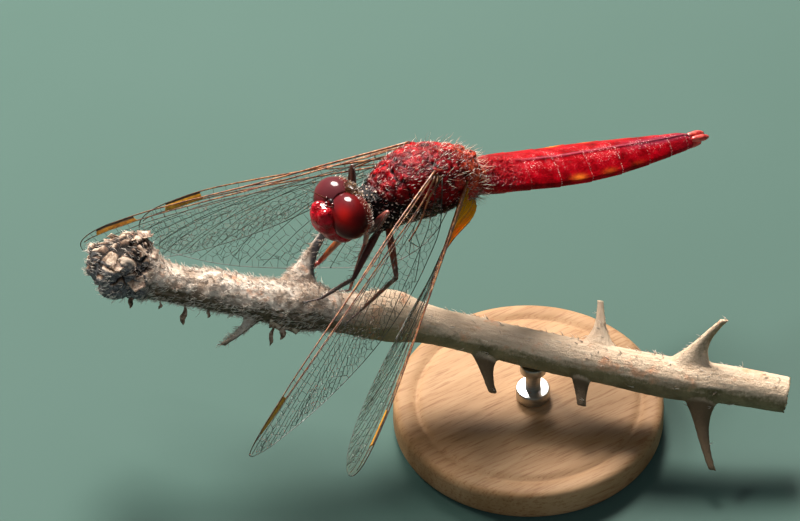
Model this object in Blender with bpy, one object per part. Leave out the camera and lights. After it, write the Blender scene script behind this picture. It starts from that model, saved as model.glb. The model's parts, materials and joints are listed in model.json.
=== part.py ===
"""A male scarlet dragonfly, life size, gripping a short length of thorny cane on a display stand.

Everything is laid out in millimetres in the insect's own frame, and written in metres. That frame
has its origin between the roots of the four wings: +X runs back along the body, the animal's left
side is at -Y, and +Z is up. The finished model's origin is the middle of the stand's underside.
"""
from math import cos, exp, pi, radians, sin

import bmesh
import bpy
from mathutils import Matrix, Vector

# ---------------------------------------------------------------------------------------------
# Driving dimensions, in millimetres and degrees
# ---------------------------------------------------------------------------------------------
MM = 0.001
GAP = 0.25                      # clear space left between two pieces that meet
BODY_PITCH = 18.9               # the body slopes down towards the tail

FLOOR_LEVEL = -26.5             # underside of the stand, below the wing roots
STAND_CENTRE = (3.3, -9.5)      # middle of the stand's base
BASE_RADIUS = 12.0
BASE_THICKNESS = 3.0
BASE_EDGE_ROUND = 0.6
ROD_RADIUS = 0.9

HEAD = (-9.97, 0.0, -0.58)      # the middle of the head
EYE_SIZE = (1.8, 2.15, 2.1)     # half sizes of one eye
EYE_SIDE = 1.12                 # each eye's centre from the middle of the head
EYE_AHEAD = 0.18                # and in front of it

# Wings: outline as (share of the length, leading edge, trailing edge), the edges as shares of the
# length behind the wing's straight leading line; root given for the right wing
FORE_WING = dict(length=31.0, root=(-1.9, 2.1, 1.45),
                 outline=((0.0, 0.0, 0.03), (0.1, -0.004, 0.125), (0.2, -0.007, 0.168),
                          (0.48, 0.0, 0.235), (0.6, 0.001, 0.238), (0.8, 0.012, 0.215),
                          (0.9, 0.028, 0.185), (0.95, 0.044, 0.158), (0.985, 0.066, 0.125)))
HIND_WING = dict(length=29.3, root=(1.5, 2.07, -1.56),
                 outline=((0.0, 0.0, 0.17), (0.1, -0.004, 0.32), (0.2, -0.006, 0.345),
                          (0.3, -0.005, 0.342), (0.48, 0.0, 0.31), (0.6, 0.003, 0.287),
                          (0.8, 0.015, 0.232), (0.9, 0.032, 0.19), (0.985, 0.072, 0.13)))
# How each wing is held: sweep forward of sideways, droop, turn of the blade at root and tip and
# the extra turn of its foot (all in degrees), the share of the length over which that extra turn
# fades, and the tip's curl up, as a share of the length
WINGS = {
    "wing_fore_left": (FORE_WING, "left", 64.0, 15.3, (57.7, 98.8, 0.0, 0.15), 0.03),
    "wing_fore_right": (FORE_WING, "right", 61.8, 19.6, (63.0, 92.7, 0.0, 0.15), 0.07),
    "wing_hind_left": (HIND_WING, "left", 49.7, 19.9, (100.0, 130.9, -14.0, 0.05), 0.04),
    "wing_hind_right": (HIND_WING, "right", 49.4, 18.4, (100.6, 127.3, -42.0, 0.15), -0.02),
}
WING_THICKNESS = 0.5
TIP_ACROSS = 0.093              # where the tip lies, behind the leading line

# Thorax: (distance back along the body, height of the centre, half width, half height)
THORAX = ((-7.05, -4.25, 0.9, 1.25), (-6.3, -3.9, 1.7, 2.4), (-4.8, -2.95, 2.5, 3.2),
          (-3.0, -2.3, 2.85, 3.4), (-1.4, -2.08, 2.9, 3.45), (0.4, -2.05, 2.75, 3.25),
          (2.3, -2.15, 2.3, 2.85), (3.8, -2.55, 1.85, 2.2), (4.7, -2.8, 1.4, 1.6))

# Abdomen: where each of the ten rings ends, measured from the first ring's front
RING_ENDS = (0.9, 2.2, 4.6, 7.9, 11.4, 14.9, 18.2, 20.8, 22.8, 23.6)
ABDOMEN_START = 4.75
ABDOMEN_LEVEL = -2.85
# (distance from the first ring's front, half width, height of ridge, depth of belly, level)
ABDOMEN = ((0.0, 1.7, 1.45, 1.35, 0.3), (1.2, 2.15, 1.5, 1.3, 0.35), (2.4, 2.4, 1.4, 1.05, 0.3),
           (4.6, 2.55, 1.3, 0.8, 0.15), (7.9, 2.6, 1.25, 0.65, 0.0), (11.4, 2.55, 1.25, 0.6, 0.0),
           (14.9, 2.25, 1.2, 0.6, 0.1), (18.2, 1.8, 1.05, 0.6, 0.3), (20.8, 1.4, 0.9, 0.55, 0.5),
           (22.8, 1.05, 0.8, 0.5, 0.65), (23.6, 0.9, 0.65, 0.45, 0.65))
CERCUS_LENGTH = 1.5

# Legs: hip and knee. The four walking legs then give where the shin ends and where the foot ends
# on the cane, as (distance along, degrees round from its top towards the left); the two fore
# legs are tucked up behind the head and give places of their own.
LEGS = {
    "fore_left": ((-8.0, -1.3, -3.2), (-6.96, -2.95, 0.5), (-8.1, -2.6, -2.2), (-8.7, -2.3, -3.2)),
    "fore_right": ((-8.0, 1.3, -3.2), (-6.96, 2.95, 1.35), (-8.1, 2.6, -2.2), (-8.7, 2.3, -3.2)),
    "mid_left": ((-7.2, -1.25, -3.9), (-11.1, -3.5, -5.9), (-10.8, 67), (-12.2, 82)),
    "mid_right": ((-7.2, 1.25, -4.3), (-10.5, 3.2, -9.8), (-14.0, -65), (-15.8, -85)),
    "hind_left": ((-6.2, -1.4, -4.3), (-7.8, -5.4, -5.8), (-7.2, 81), (-8.3, 112)),
    "hind_right": ((-6.2, 1.4, -4.3), (-6.6, 1.9, -8.4), (-8.2, -34), (-9.7, -42)),
}
FEMUR_RADII = (0.5, 0.28)
SHIN_RADII = (0.27, 0.25)
FOOT_RADIUS = 0.25

# Perch: a length of cane, in a frame of its own. "Along" runs down to the insect's left.
CANE_ORIGIN = (-3.66, -5.88, -13.89)
CANE_ALONG = (0.791, -0.589, -0.173)
CANE_RISE = (0.522, 0.498, 0.692)
# (distance along, rise, swing to the insect's left, radius)
CANE = ((-31.5, 0.5, 0.0, 1.1), (-30.2, 0.0, 0.0, 2.1), (-29.3, 0.1, 0.0, 2.75), (-27.6, 0.45, 0.0, 2.8),
        (-26.6, 0.25, 0.0, 2.4), (-26.0, -0.15, 0.0, 2.05), (-19.7, -0.4, 0.1, 1.75),
        (-15.9, -0.4, 0.1, 1.85), (-12.6, -0.25, 0.0, 2.1), (-8.9, -0.3, -0.8, 1.75),
        (-4.0, 0.2, -2.9, 2.3), (-1.6, 0.1, -3.5, 1.8), (3.6, -0.15, -3.2, 1.65), (10.7, -0.5, -2.4, 1.75),
        (15.4, -0.6, -1.8, 1.75), (20.9, -0.7, -1.2, 1.85), (26.2, -0.4, -0.7, 1.7), (31.2, -0.35, -0.5, 1.6))
# Thorns: foot along the cane, half length of the foot, then the tip's along, rise and swing
THORNS = ((-13.1, 2.1, (-11.6, 6.3, 0.0)), (-15.9, 1.7, (-18.4, -4.7, 0.6)),
          (4.3, 2.2, (5.6, -4.6, 0.8)), (13.0, 2.4, (13.5, -4.3, 1.2)),
          (14.2, 1.7, (13.7, 4.6, -0.4)), (22.3, 2.0, (24.2, 4.9, 2.2)),
          (23.6, 2.0, (25.6, -7.6, 0.9)))
THORN_THICKNESS = 1.15         # half the thickness of a thorn at its foot
ROD_ALONG = 8.6                # where the rod meets the cane


def world(point):
    """Millimetres in the insect's frame to metres in the model's frame."""
    x, y, z = point
    return Vector((x - STAND_CENTRE[0], y - STAND_CENTRE[1], z - FLOOR_LEVEL)) * MM


def trunk(back, side, height):
    """A place in the pitched body: distance back, sideways and up from the wing roots."""
    pitch = radians(BODY_PITCH)
    return Vector((back * cos(pitch) + height * sin(pitch), side,
                   -back * sin(pitch) + height * cos(pitch)))


# ---------------------------------------------------------------------------------------------
# Materials
# ---------------------------------------------------------------------------------------------
def material(name, colour, roughness, metallic=0.0):
    made = bpy.data.materials.new(name)
    made.use_nodes = True
    shader = made.node_tree.nodes["Principled BSDF"]
    shader.inputs["Base Color"].default_value = (*colour, 1.0)
    shader.inputs["Roughness"].default_value = roughness
    shader.inputs["Metallic"].default_value = metallic
    return made


def make_materials():
    return {
        "eye": material("compound_eye", (0.16, 0.006, 0.010), 0.15),
        "face": material("face_cuticle", (0.50, 0.012, 0.020), 0.30),
        "thorax": material("thorax_cuticle", (0.20, 0.012, 0.012), 0.50),
        "abdomen": material("abdomen_cuticle", (0.45, 0.012, 0.015), 0.35),
        "leg": material("leg_cuticle", (0.05, 0.012, 0.008), 0.40),
        "wing": material("wing_membrane", (0.60, 0.55, 0.42), 0.20),
        "bark": material("cane_bark", (0.42, 0.33, 0.27), 0.85),
        "wood": material("turned_beech", (0.48, 0.30, 0.16), 0.45),
        "steel": material("brushed_rod", (0.55, 0.55, 0.54), 0.30, 1.0),
    }


# ---------------------------------------------------------------------------------------------
# Shapes
# ---------------------------------------------------------------------------------------------
def finish(name, mesh_data, look):
    """Turn a bmesh into a named object, closed, facing out and shaded smooth."""
    bmesh.ops.recalc_face_normals(mesh_data, faces=mesh_data.faces)
    mesh = bpy.data.meshes.new(name)
    mesh_data.to_mesh(mesh)
    mesh_data.free()
    mesh.shade_smooth()
    mesh.set_sharp_from_angle(angle=radians(40))
    mesh.materials.append(look)
    made = bpy.data.objects.new(name, mesh)
    bpy.context.scene.collection.objects.link(made)
    return made


def loft(name, rings, look):
    """A closed body through rings of points, all with the same number of points."""
    shape = bmesh.new()
    loops = [[shape.verts.new(world(point)) for point in ring] for ring in rings]
    for one, other in zip(loops, loops[1:]):
        for i in range(len(one)):
            j = (i + 1) % len(one)
            shape.faces.new((one[i], one[j], other[j], other[i]))
    shape.faces.new(loops[0][::-1])
    shape.faces.new(loops[-1])
    return finish(name, shape, look)


def ellipsoid(name, centre, half_sizes, look, segments=24, rings=14, tilt=0.0):
    """An ellipsoid, tilted about the side-to-side axis."""
    shape = bmesh.new()
    place = (Matrix.Translation(world(centre)) @ Matrix.Rotation(radians(tilt), 4, "Y")
             @ Matrix.Diagonal((*(size * MM for size in half_sizes), 1.0)))
    bmesh.ops.create_uvsphere(shape, u_segments=segments, v_segments=rings, radius=1.0, matrix=place)
    return finish(name, shape, look)


def oval(centre, across, up, half_width, half_height, sides, power=2.0):
    """One ring of a body: an oval, squarer as power rises above 2."""
    ring = []
    for i in range(sides):
        angle = 2 * pi * (i + 0.5) / sides
        c, s = cos(angle), sin(angle)
        wide = half_width * abs(c) ** (2 / power) * (1 if c > 0 else -1)
        high = half_height * abs(s) ** (2 / power) * (1 if s > 0 else -1)
        ring.append(Vector(centre) + Vector(across) * wide + Vector(up) * high)
    return ring


def limb(name, route, radii, look, sides=8):
    """A round limb along a route, with a small domed end at each tip."""
    points = [Vector(point) for point in route]
    heading = (points[1] - points[0]).normalized()
    across = heading.cross(Vector((0.13, 0.41, 0.9))).normalized()
    rings = []
    for i, (point, radius) in enumerate(zip(points, radii)):
        before = (point - points[i - 1]).normalized() if i else heading
        after = (points[i + 1] - point).normalized() if i + 1 < len(points) else before
        along = (before + after).normalized()
        across = (across - along * across.dot(along)).normalized()
        up = along.cross(across)
        if i == 0:
            rings.append(oval(point - along * radius * 0.3, across, up, radius * 0.6, radius * 0.6, sides))
        rings.append(oval(point, across, up, radius, radius, sides))
        if i + 1 == len(points):
            rings.append(oval(point + along * radius * 0.3, across, up, radius * 0.6, radius * 0.6, sides))
    return loft(name, rings, look)


def swollen(source, amount, name):
    """A cutter: a copy of a body, grown by the gap along its own normals."""
    mesh = source.data.copy()
    cutter = bpy.data.objects.new(name, mesh)
    bpy.context.scene.collection.objects.link(cutter)
    shape = bmesh.new()
    shape.from_mesh(mesh)
    shape.normal_update()
    offsets = [vert.normal * amount * MM for vert in shape.verts]
    for vert, offset in zip(shape.verts, offsets):
        vert.co += offset
    shape.to_mesh(mesh)
    shape.free()
    cutter.hide_render = True
    cutter.display_type = "WIRE"
    return cutter


def boolean(target, other, operation):
    cut = target.modifiers.new(operation.lower(), "BOOLEAN")
    cut.operation = operation
    cut.solver = "EXACT"
    cut.object = other


def keep_clear(target, *neighbours):
    """Cut a piece back where it meets its neighbours, leaving the gap."""
    for neighbour in neighbours:
        boolean(target, swollen(neighbour, GAP, f"clear_{target.name}_{neighbour.name}"[:60]), "DIFFERENCE")


# ---------------------------------------------------------------------------------------------
# The insect
# ---------------------------------------------------------------------------------------------
def make_thorax(look):
    across = Vector((0, 1, 0))
    up = trunk(0, 0, 1)
    rings = [oval(trunk(back, 0, level), across, up, wide, high, 20, 2.3)
             for back, level, wide, high in THORAX]
    return loft("thorax", rings, look["thorax"])


def abdomen_size(distance):
    """Half width, ridge, belly and level of the abdomen at one distance, between its stations."""
    for low, high in zip(ABDOMEN, ABDOMEN[1:]):
        if distance <= high[0] + 1e-9:
            share = (distance - low[0]) / (high[0] - low[0])
            return [a + (b - a) * share for a, b in zip(low[1:], high[1:])]
    return list(ABDOMEN[-1][1:])


def abdomen_ring(distance, shrink=1.0):
    """A cross-section with a ridged back, thin sides and a shallow belly."""
    wide, ridge, belly, level = abdomen_size(distance)
    half = ((0.0, ridge), (0.34 * wide, ridge * 0.86), (0.68 * wide, ridge * 0.52),
            (0.92 * wide, ridge * 0.2), (wide, -0.04 * wide), (0.9 * wide, -belly * 0.45),
            (0.55 * wide, -belly * 0.9), (0.0, -belly))
    outline = list(half) + [(-side, height) for side, height in half[-2:0:-1]]
    return [trunk(ABDOMEN_START + distance, side * shrink, ABDOMEN_LEVEL + level + height * shrink)
            for side, height in outline]


def make_abdomen(look):
    starts = (0.0,) + RING_ENDS[:-1]
    for number, (start, end) in enumerate(zip(starts, RING_ENDS), start=1):
        low = start + GAP * (number > 1)
        rings = [abdomen_ring(low, 0.95), abdomen_ring(low + 0.15)]
        rings += [abdomen_ring((low + end) / 2)] if end - low > 1.2 else []
        rings += [abdomen_ring(end - 0.15), abdomen_ring(end, 0.97)]
        loft(f"abdomen_{number}", rings, look["abdomen"])
    last = ABDOMEN_START + RING_ENDS[-1] + GAP
    tail_level = ABDOMEN_LEVEL + ABDOMEN[-1][-1]
    for side, sign in (("left", -1), ("right", 1)):
        route = [trunk(last + back * CERCUS_LENGTH, sign * out, tail_level + 0.2 + up)
                 for back, out, up in ((0.05, 0.5, 0.1), (0.4, 0.6, 0.1), (0.75, 0.52, 0.0), (1.0, 0.5, 0.1))]
        limb(f"cercus_{side}", route, (0.27, 0.34, 0.3, 0.25), look["abdomen"])
    route = [trunk(last + back * CERCUS_LENGTH, 0.0, tail_level - 0.55 + up)
             for back, up in ((0.05, 0.0), (0.45, 0.0), (0.8, 0.15))]
    limb("lower_appendage", route, (0.28, 0.3, 0.25), look["abdomen"])


def from_head(x, y, z):
    return (HEAD[0] + x, HEAD[1] + y, HEAD[2] + z)


def make_head(look, thorax):
    eyes = [ellipsoid(f"eye_{side}", from_head(-EYE_AHEAD, sign * EYE_SIDE, 0), EYE_SIZE, look["eye"])
            for side, sign in (("left", -1), ("right", 1))]
    midline = bpy.data.meshes.new("midline")
    shape = bmesh.new()
    slab = Matrix.Translation(world(from_head(0, 0, 0))) @ Matrix.Diagonal((0.02, GAP * MM, 0.02, 1))
    bmesh.ops.create_cube(shape, size=1.0, matrix=slab)
    shape.to_mesh(midline)
    shape.free()
    for eye, sign in zip(eyes, (-1, 1)):
        half = bpy.data.objects.new(f"half_space_{eye.name}", midline.copy())
        bpy.context.scene.collection.objects.link(half)
        half.data.transform(Matrix.Translation((0, -sign * 0.5 * GAP * MM, 0)))
        for vert in half.data.vertices:
            if (vert.co.y - world(HEAD).y) * sign < -0.5 * GAP * MM:
                vert.co.y -= sign * 4 * MM
        half.hide_render = True
        half.display_type = "WIRE"
        boolean(eye, half, "DIFFERENCE")
    frons = ellipsoid("face_frons", from_head(-2.1, 0, 0.5), (1.15, 1.35, 0.95), look["face"], 20, 12)
    clypeus = ellipsoid("face_clypeus", from_head(-1.85, 0, -0.75), (1.1, 1.5, 0.85), look["face"], 20, 12)
    labrum = ellipsoid("mouth", from_head(-1.0, 0, -2.0), (1.35, 1.5, 1.1), look["face"], 20, 12, 25)
    capsule = ellipsoid("head_capsule", from_head(0.15, 0, -0.35), (1.35, 2.3, 1.95), look["face"], 24, 12)
    neck = loft("neck", [oval(trunk(back, 0, level), (0, 1, 0), trunk(0, 0, 1), wide, high, 14)
                         for back, level, wide, high in ((-8.6, -3.7, 0.6, 0.7), (-7.9, -3.6, 1.2, 1.3),
                                                         (-7.0, -3.4, 1.4, 1.5), (-6.0, -3.5, 1.4, 1.5))],
                look["thorax"])
    keep_clear(frons, *eyes)
    keep_clear(clypeus, *eyes, frons)
    keep_clear(labrum, *eyes, clypeus)
    keep_clear(capsule, *eyes, frons, clypeus, labrum)
    keep_clear(neck, thorax, capsule)
    for side, sign in (("left", -1), ("right", 1)):
        route = [from_head(x, sign * y, z)
                 for x, y, z in ((-1.75, 0.75, 1.55), (-2.35, 1.0, 2.3), (-3.3, 1.3, 3.0))]
        feeler = limb(f"antenna_{side}", route, (0.27, 0.25, 0.25), look["leg"], 6)
        keep_clear(feeler, frons, *eyes)


def wing_point(hold, along, across):
    """A point of a wing, and the blade's normal there.

    Along is a share of the length from the root; across is the distance behind the leading line.
    """
    wing, side, sweep, droop, twist, curl = hold
    sweep, droop = radians(sweep), radians(droop)
    span = Vector((-sin(sweep) * cos(droop), -cos(sweep) * cos(droop), -sin(droop)))
    level = Vector((cos(sweep), -sin(sweep), 0))
    upward = span.cross(level)
    upward *= 1 if upward.z > 0 else -1
    foot_share = exp(-(along / twist[3]) ** 2)
    turn = radians(twist[0] + (twist[1] - twist[0]) * along + twist[2] * foot_share)
    back = level * cos(turn) - upward * sin(turn)
    length = wing["length"]
    root = Vector((wing["root"][0], -wing["root"][1], wing["root"][2]))
    place = root + (span * along + back * across + upward * curl * along * along) * length
    facing = span.cross(back).normalized()
    if side == "right":
        place.y, facing.y = -place.y, -facing.y
    return place, facing


def make_wing(name, hold, look):
    """A thin twisted blade of even thickness."""
    wing = hold[0]
    tip = (0.998, TIP_ACROSS - 0.008, TIP_ACROSS + 0.008)
    rings = []
    for along, lead, trail in (*wing["outline"], tip):
        top, bottom = [], []
        for share in (0.0, 0.2, 0.75, 1.0):
            place, facing = wing_point(hold, along, lead + (trail - lead) * share)
            half = WING_THICKNESS / 2
            top.append(place + facing * half)
            bottom.append(place - facing * half)
        rings.append(top + bottom[::-1])
    return loft(name, rings, look["wing"])


def cane_at(along):
    """Rise, swing and radius of the cane at one distance along it."""
    for low, high in zip(CANE, CANE[1:]):
        if along <= high[0]:
            break
    share = (along - low[0]) / (high[0] - low[0])
    return [a + (b - a) * share for a, b in zip(low[1:], high[1:])]


def on_cane(along, degrees):
    """Where a foot lies against the cane: clear of its bark by the gap."""
    rise, swing, radius = cane_at(along)
    reach = radius + GAP + FOOT_RADIUS
    turn = radians(degrees)
    return cane_place(along, rise + reach * cos(turn), swing + reach * sin(turn))


def make_legs(look, thorax, cane):
    """Femur, shin and foot of each leg; the feet hold the cane, the fore legs are tucked up."""
    for leg, (hip, knee, ankle, toe) in LEGS.items():
        if len(ankle) == 2:
            ankle, toe = on_cane(*ankle), on_cane(*toe)
        hip, knee, ankle, toe = (Vector(point) for point in (hip, knee, ankle, toe))
        thigh = (knee - hip).normalized()
        shin = (ankle - knee).normalized()
        foot = (toe - ankle).normalized()
        wide, narrow = FEMUR_RADII
        thigh_points = (hip, hip.lerp(knee, 0.25), hip.lerp(knee, 0.7), knee - thigh * 0.15)
        femur = limb(f"leg_{leg}_femur", thigh_points, (wide * 0.9, wide, wide * 0.75, narrow), look["leg"])
        tibia = limb(f"leg_{leg}_tibia", (knee + shin * 0.35, ankle - shin * 0.2), SHIN_RADII, look["leg"])
        tarsus = limb(f"leg_{leg}_tarsus", (ankle + foot * 0.3, toe), (FOOT_RADIUS,) * 2, look["leg"])
        keep_clear(femur, thorax)
        keep_clear(tibia, femur, cane)
        keep_clear(tarsus, tibia, cane)


# ---------------------------------------------------------------------------------------------
# The perch and its stand
# ---------------------------------------------------------------------------------------------
def cane_place(along, rise, swing):
    forward, up = Vector(CANE_ALONG).normalized(), Vector(CANE_RISE)
    up = (up - forward * up.dot(forward)).normalized()
    return Vector(CANE_ORIGIN) + forward * along + up * rise + forward.cross(up) * swing


def make_cane(look):
    """The cane with its thorns, as one body."""
    forward = Vector(CANE_ALONG).normalized()
    upward = cane_place(0, 1, 0) - cane_place(0, 0, 0)
    outward = forward.cross(upward)
    rings = [oval(cane_place(along, rise, swing), outward, upward, radius, radius, 16)
             for along, rise, swing, radius in CANE]
    cane = loft("perch_cane", rings, look["bark"])
    for number, (foot, half_foot, (tip_along, tip_rise, tip_swing)) in enumerate(THORNS, start=1):
        start = cane_place(foot, 0, cane_at(foot)[1])
        end = cane_place(tip_along, tip_rise, tip_swing + cane_at(tip_along)[1])
        reach = end - start
        out = (reach - forward * reach.dot(forward)).normalized()
        lean = reach - out * reach.dot(out)
        across = out.cross(forward)
        sections = []
        for share in (0.1, 0.28, 0.45, 0.65, 0.85, 1.0):
            centre = start + out * reach.dot(out) * share + lean * share ** 2
            narrow = (1 - share) ** 1.3 + 0.07
            thick = min(THORN_THICKNESS, half_foot * 0.7) * narrow
            sections.append(oval(centre, forward, across, half_foot * narrow, thick, 10))
        thorn = loft(f"thorn_{number}", sections, look["bark"])
        thorn.hide_render = True
        thorn.display_type = "WIRE"
        boolean(cane, thorn, "UNION")
    return cane


def make_stand(look, cane):
    shape = bmesh.new()
    middle = world((STAND_CENTRE[0], STAND_CENTRE[1], FLOOR_LEVEL + BASE_THICKNESS / 2))
    bmesh.ops.create_cone(shape, cap_ends=True, segments=64, radius1=BASE_RADIUS * MM,
                          radius2=BASE_RADIUS * MM, depth=BASE_THICKNESS * MM,
                          matrix=Matrix.Translation(middle))
    rims = [edge for edge in shape.edges if abs(edge.verts[0].co.z - edge.verts[1].co.z) < 1e-6]
    bmesh.ops.bevel(shape, geom=rims, offset=BASE_EDGE_ROUND * MM, segments=3, affect="EDGES", profile=0.5)
    finish("stand_base", shape, look["wood"])
    rise, swing, _ = cane_at(ROD_ALONG)
    top = cane_place(ROD_ALONG, rise, swing)
    foot = Vector((top.x, top.y, FLOOR_LEVEL + BASE_THICKNESS + GAP))
    rod = loft("stand_rod", [oval(point, (1, 0, 0), (0, 1, 0), ROD_RADIUS, ROD_RADIUS, 16)
                             for point in (foot, top - Vector((0, 0, 0.6)))], look["steel"])
    keep_clear(rod, cane)


def main():
    for old in list(bpy.data.objects):
        bpy.data.objects.remove(old, do_unlink=True)
    look = make_materials()
    thorax = make_thorax(look)
    make_abdomen(look)
    make_head(look, thorax)
    for name, hold in WINGS.items():
        keep_clear(make_wing(name, hold, look), thorax)
    cane = make_cane(look)
    make_legs(look, thorax, cane)
    make_stand(look, cane)


main()
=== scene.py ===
# %% [markdown]
# # A scarlet dragonfly on a thorny cane
#
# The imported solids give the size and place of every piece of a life-size museum model. This
# lesson dresses them: one part of the insect at a time gets its real surface, then the cane it
# grips, then the small display stand. Everything is worked out in millimetres and written in
# metres, because a dragonfly is easier to think of in millimetres.

# %% Load the frame
import json
from math import cos, pi, radians, sin

import bpy
import numpy as np
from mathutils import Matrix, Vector, noise
from mathutils.geometry import delaunay_2d_cdt

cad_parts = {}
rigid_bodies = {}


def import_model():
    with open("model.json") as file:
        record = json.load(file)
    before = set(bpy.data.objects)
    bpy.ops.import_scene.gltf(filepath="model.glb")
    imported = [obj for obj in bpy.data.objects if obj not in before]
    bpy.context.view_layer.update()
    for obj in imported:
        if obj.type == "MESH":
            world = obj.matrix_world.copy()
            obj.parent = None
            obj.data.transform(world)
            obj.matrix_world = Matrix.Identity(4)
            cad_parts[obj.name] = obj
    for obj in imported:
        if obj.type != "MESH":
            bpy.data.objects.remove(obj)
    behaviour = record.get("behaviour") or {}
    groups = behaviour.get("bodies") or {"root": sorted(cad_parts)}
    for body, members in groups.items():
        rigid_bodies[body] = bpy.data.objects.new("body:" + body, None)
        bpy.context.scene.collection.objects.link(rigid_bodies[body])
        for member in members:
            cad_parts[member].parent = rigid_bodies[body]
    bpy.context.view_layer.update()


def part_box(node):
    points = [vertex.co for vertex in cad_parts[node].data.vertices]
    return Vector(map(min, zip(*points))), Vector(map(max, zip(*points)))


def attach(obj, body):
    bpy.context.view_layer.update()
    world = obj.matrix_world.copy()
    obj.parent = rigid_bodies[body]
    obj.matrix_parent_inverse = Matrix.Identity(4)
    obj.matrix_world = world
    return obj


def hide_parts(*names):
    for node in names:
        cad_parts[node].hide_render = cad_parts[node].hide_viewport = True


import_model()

MM = 0.001

# %% [markdown]
# ## Finding the insect
# The solids' origin is the middle of the stand's foot, which is a poor place to measure an insect
# from. So the places below are measured from a point between the wing roots. That point could be
# typed in, but reading it from the eyes means it follows the solids if they ever change.

# %% Places measured from the wing roots
BODY_PITCH = radians(18.9)                    # the body slopes down towards the tail
HEAD = np.array((-9.97, 0.0, -0.58))          # the middle of the head, seen from the wing roots
EYE_AHEAD = np.array((-0.18, 0.0, 0.0))       # the eyes' centres lie a little in front of it


def middle(*nodes):
    """The middle of the box round some solids, in metres."""
    corners = np.array([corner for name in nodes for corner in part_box(name)])
    return (corners.min(axis=0) + corners.max(axis=0)) / 2


WING_ROOTS = middle("eye_left", "eye_right") - (HEAD + EYE_AHEAD) * MM


def world(places):
    """Millimetres from the wing roots to metres in the frame."""
    return np.asarray(places, float) * MM + WING_ROOTS


def trunk(back, side, height):
    """A place in the pitched body, as distance back, sideways and up from the wing roots."""
    back, side, height = np.broadcast_arrays(back, side, height)
    return np.stack([back * cos(BODY_PITCH) + height * sin(BODY_PITCH), side,
                     -back * sin(BODY_PITCH) + height * cos(BODY_PITCH)], axis=-1)


def in_trunk(places):
    """The other way: a place in metres as distance back, sideways and up, in millimetres."""
    x, y, z = ((np.asarray(places) - WING_ROOTS) / MM).T
    return (x * cos(BODY_PITCH) - z * sin(BODY_PITCH), y, x * sin(BODY_PITCH) + z * cos(BODY_PITCH))


print("wing roots are at, in mm:", (WING_ROOTS / MM).round(2))

# %% [markdown]
# ## The viewpoint and the studio
# A long lens far away keeps the insect's proportions, where a near one would swell its head.
# One large soft lamp above acts as the sun. Two weaker ones open the shadows; they light
# the colours but aren't mirrored in the gloss, so each eye keeps one clean highlight, which a
# fourth lamp, seen only in the gloss, makes wide and white. A matt grey-green floor and a dim
# sky do the rest.

# %% Camera
CAMERA_AZIMUTH, CAMERA_HEIGHT, CAMERA_DISTANCE = radians(-31.88), radians(45.3), 900.0
AIM_RIGHT, AIM_UP = -3.567, -8.796            # the place the lens points at, from the wing roots
FOCAL_LENGTH, SENSOR_WIDTH = 463.3, 36.0
towards_camera = np.array((sin(CAMERA_AZIMUTH) * cos(CAMERA_HEIGHT),
                           -cos(CAMERA_AZIMUTH) * cos(CAMERA_HEIGHT), sin(CAMERA_HEIGHT)))
picture_right = np.array((cos(CAMERA_AZIMUTH), sin(CAMERA_AZIMUTH), 0.0))
picture_up = np.cross(towards_camera, picture_right)
aim = picture_right * AIM_RIGHT + picture_up * AIM_UP
lens = bpy.data.cameras.new("studio_camera")
lens.lens = FOCAL_LENGTH
lens.sensor_width = SENSOR_WIDTH
lens.clip_start = 0.01
camera = bpy.data.objects.new("studio_camera", lens)
camera.location = world(aim + towards_camera * CAMERA_DISTANCE)
camera.rotation_euler = Vector(towards_camera).to_track_quat("Z", "Y").to_euler()
bpy.context.scene.collection.objects.link(camera)
bpy.context.scene.camera = camera
print("camera is", CAMERA_DISTANCE, "mm away")

# %% [markdown]
# ## Colours and finishes
# Paint charts give colours as sRGB hex values, and shaders want linear light, so one function
# turns the one into the other. A second function adds one shader node with its settings and its
# links, which keeps every finish below short enough to read as a recipe.

# %% Helpers for finishes
def linear(colour):
    """An sRGB hex colour as the linear values that shaders take."""
    parts = [int(colour[i:i + 2], 16) / 255 for i in (1, 3, 5)]
    return [p / 12.92 if p < 0.04045 else ((p + 0.055) / 1.055) ** 2.4 for p in parts] + [1.0]


def first_output(source):
    """A node stands for the first of its outputs that is in use."""
    if isinstance(source, bpy.types.NodeSocket):
        return source
    return next(output for output in source.outputs if output.enabled)


def wire(shader, **sources):
    """Feeds the shader's sockets, with an underscore for each space in a socket's name."""
    for socket, source in sources.items():
        shader.id_data.links.new(first_output(source), shader.inputs[socket.replace("_", " ")])


def add(tree, kind, sockets=None, stops=None, **settings):
    """Adds one node. sockets maps a socket to a value, a hex colour, the node or socket that feeds
    it, or the name of a number kept on the mesh."""
    made = tree.nodes.new("ShaderNode" + kind)
    for name, value in settings.items():
        setattr(made, name, value)
    for name, value in (sockets or {}).items():
        if isinstance(value, str) and value[0] != "#":
            value = add(tree, "Attribute", attribute_name=value).outputs["Fac"]
        if isinstance(value, (bpy.types.Node, bpy.types.NodeSocket)):
            tree.links.new(first_output(value), made.inputs[name])
        else:
            made.inputs[name].default_value = linear(value) if isinstance(value, str) else value
    if stops:
        ramp = made.color_ramp.elements
        while len(ramp) < len(stops):
            ramp.new(0.5)
        for element, (place, colour) in zip(ramp, stops):
            element.position = place
            element.color = linear(colour)
    return made


def new_finish(name, **constants):
    """A material, its tree, its Principled shader and the places on the piece that patterns follow."""
    made = bpy.data.materials.new(name)
    made.use_nodes = True
    shader = made.node_tree.nodes["Principled BSDF"]
    for socket, value in constants.items():
        socket = socket.replace("_", " ")
        shader.inputs[socket].default_value = linear(value) if isinstance(value, str) else value
    return made, made.node_tree, shader, add(made.node_tree, "TexCoord").outputs["Object"]


def per(size_mm):
    """The pattern scale that makes one feature this many millimetres across."""
    return 1 / (size_mm * MM)

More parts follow.
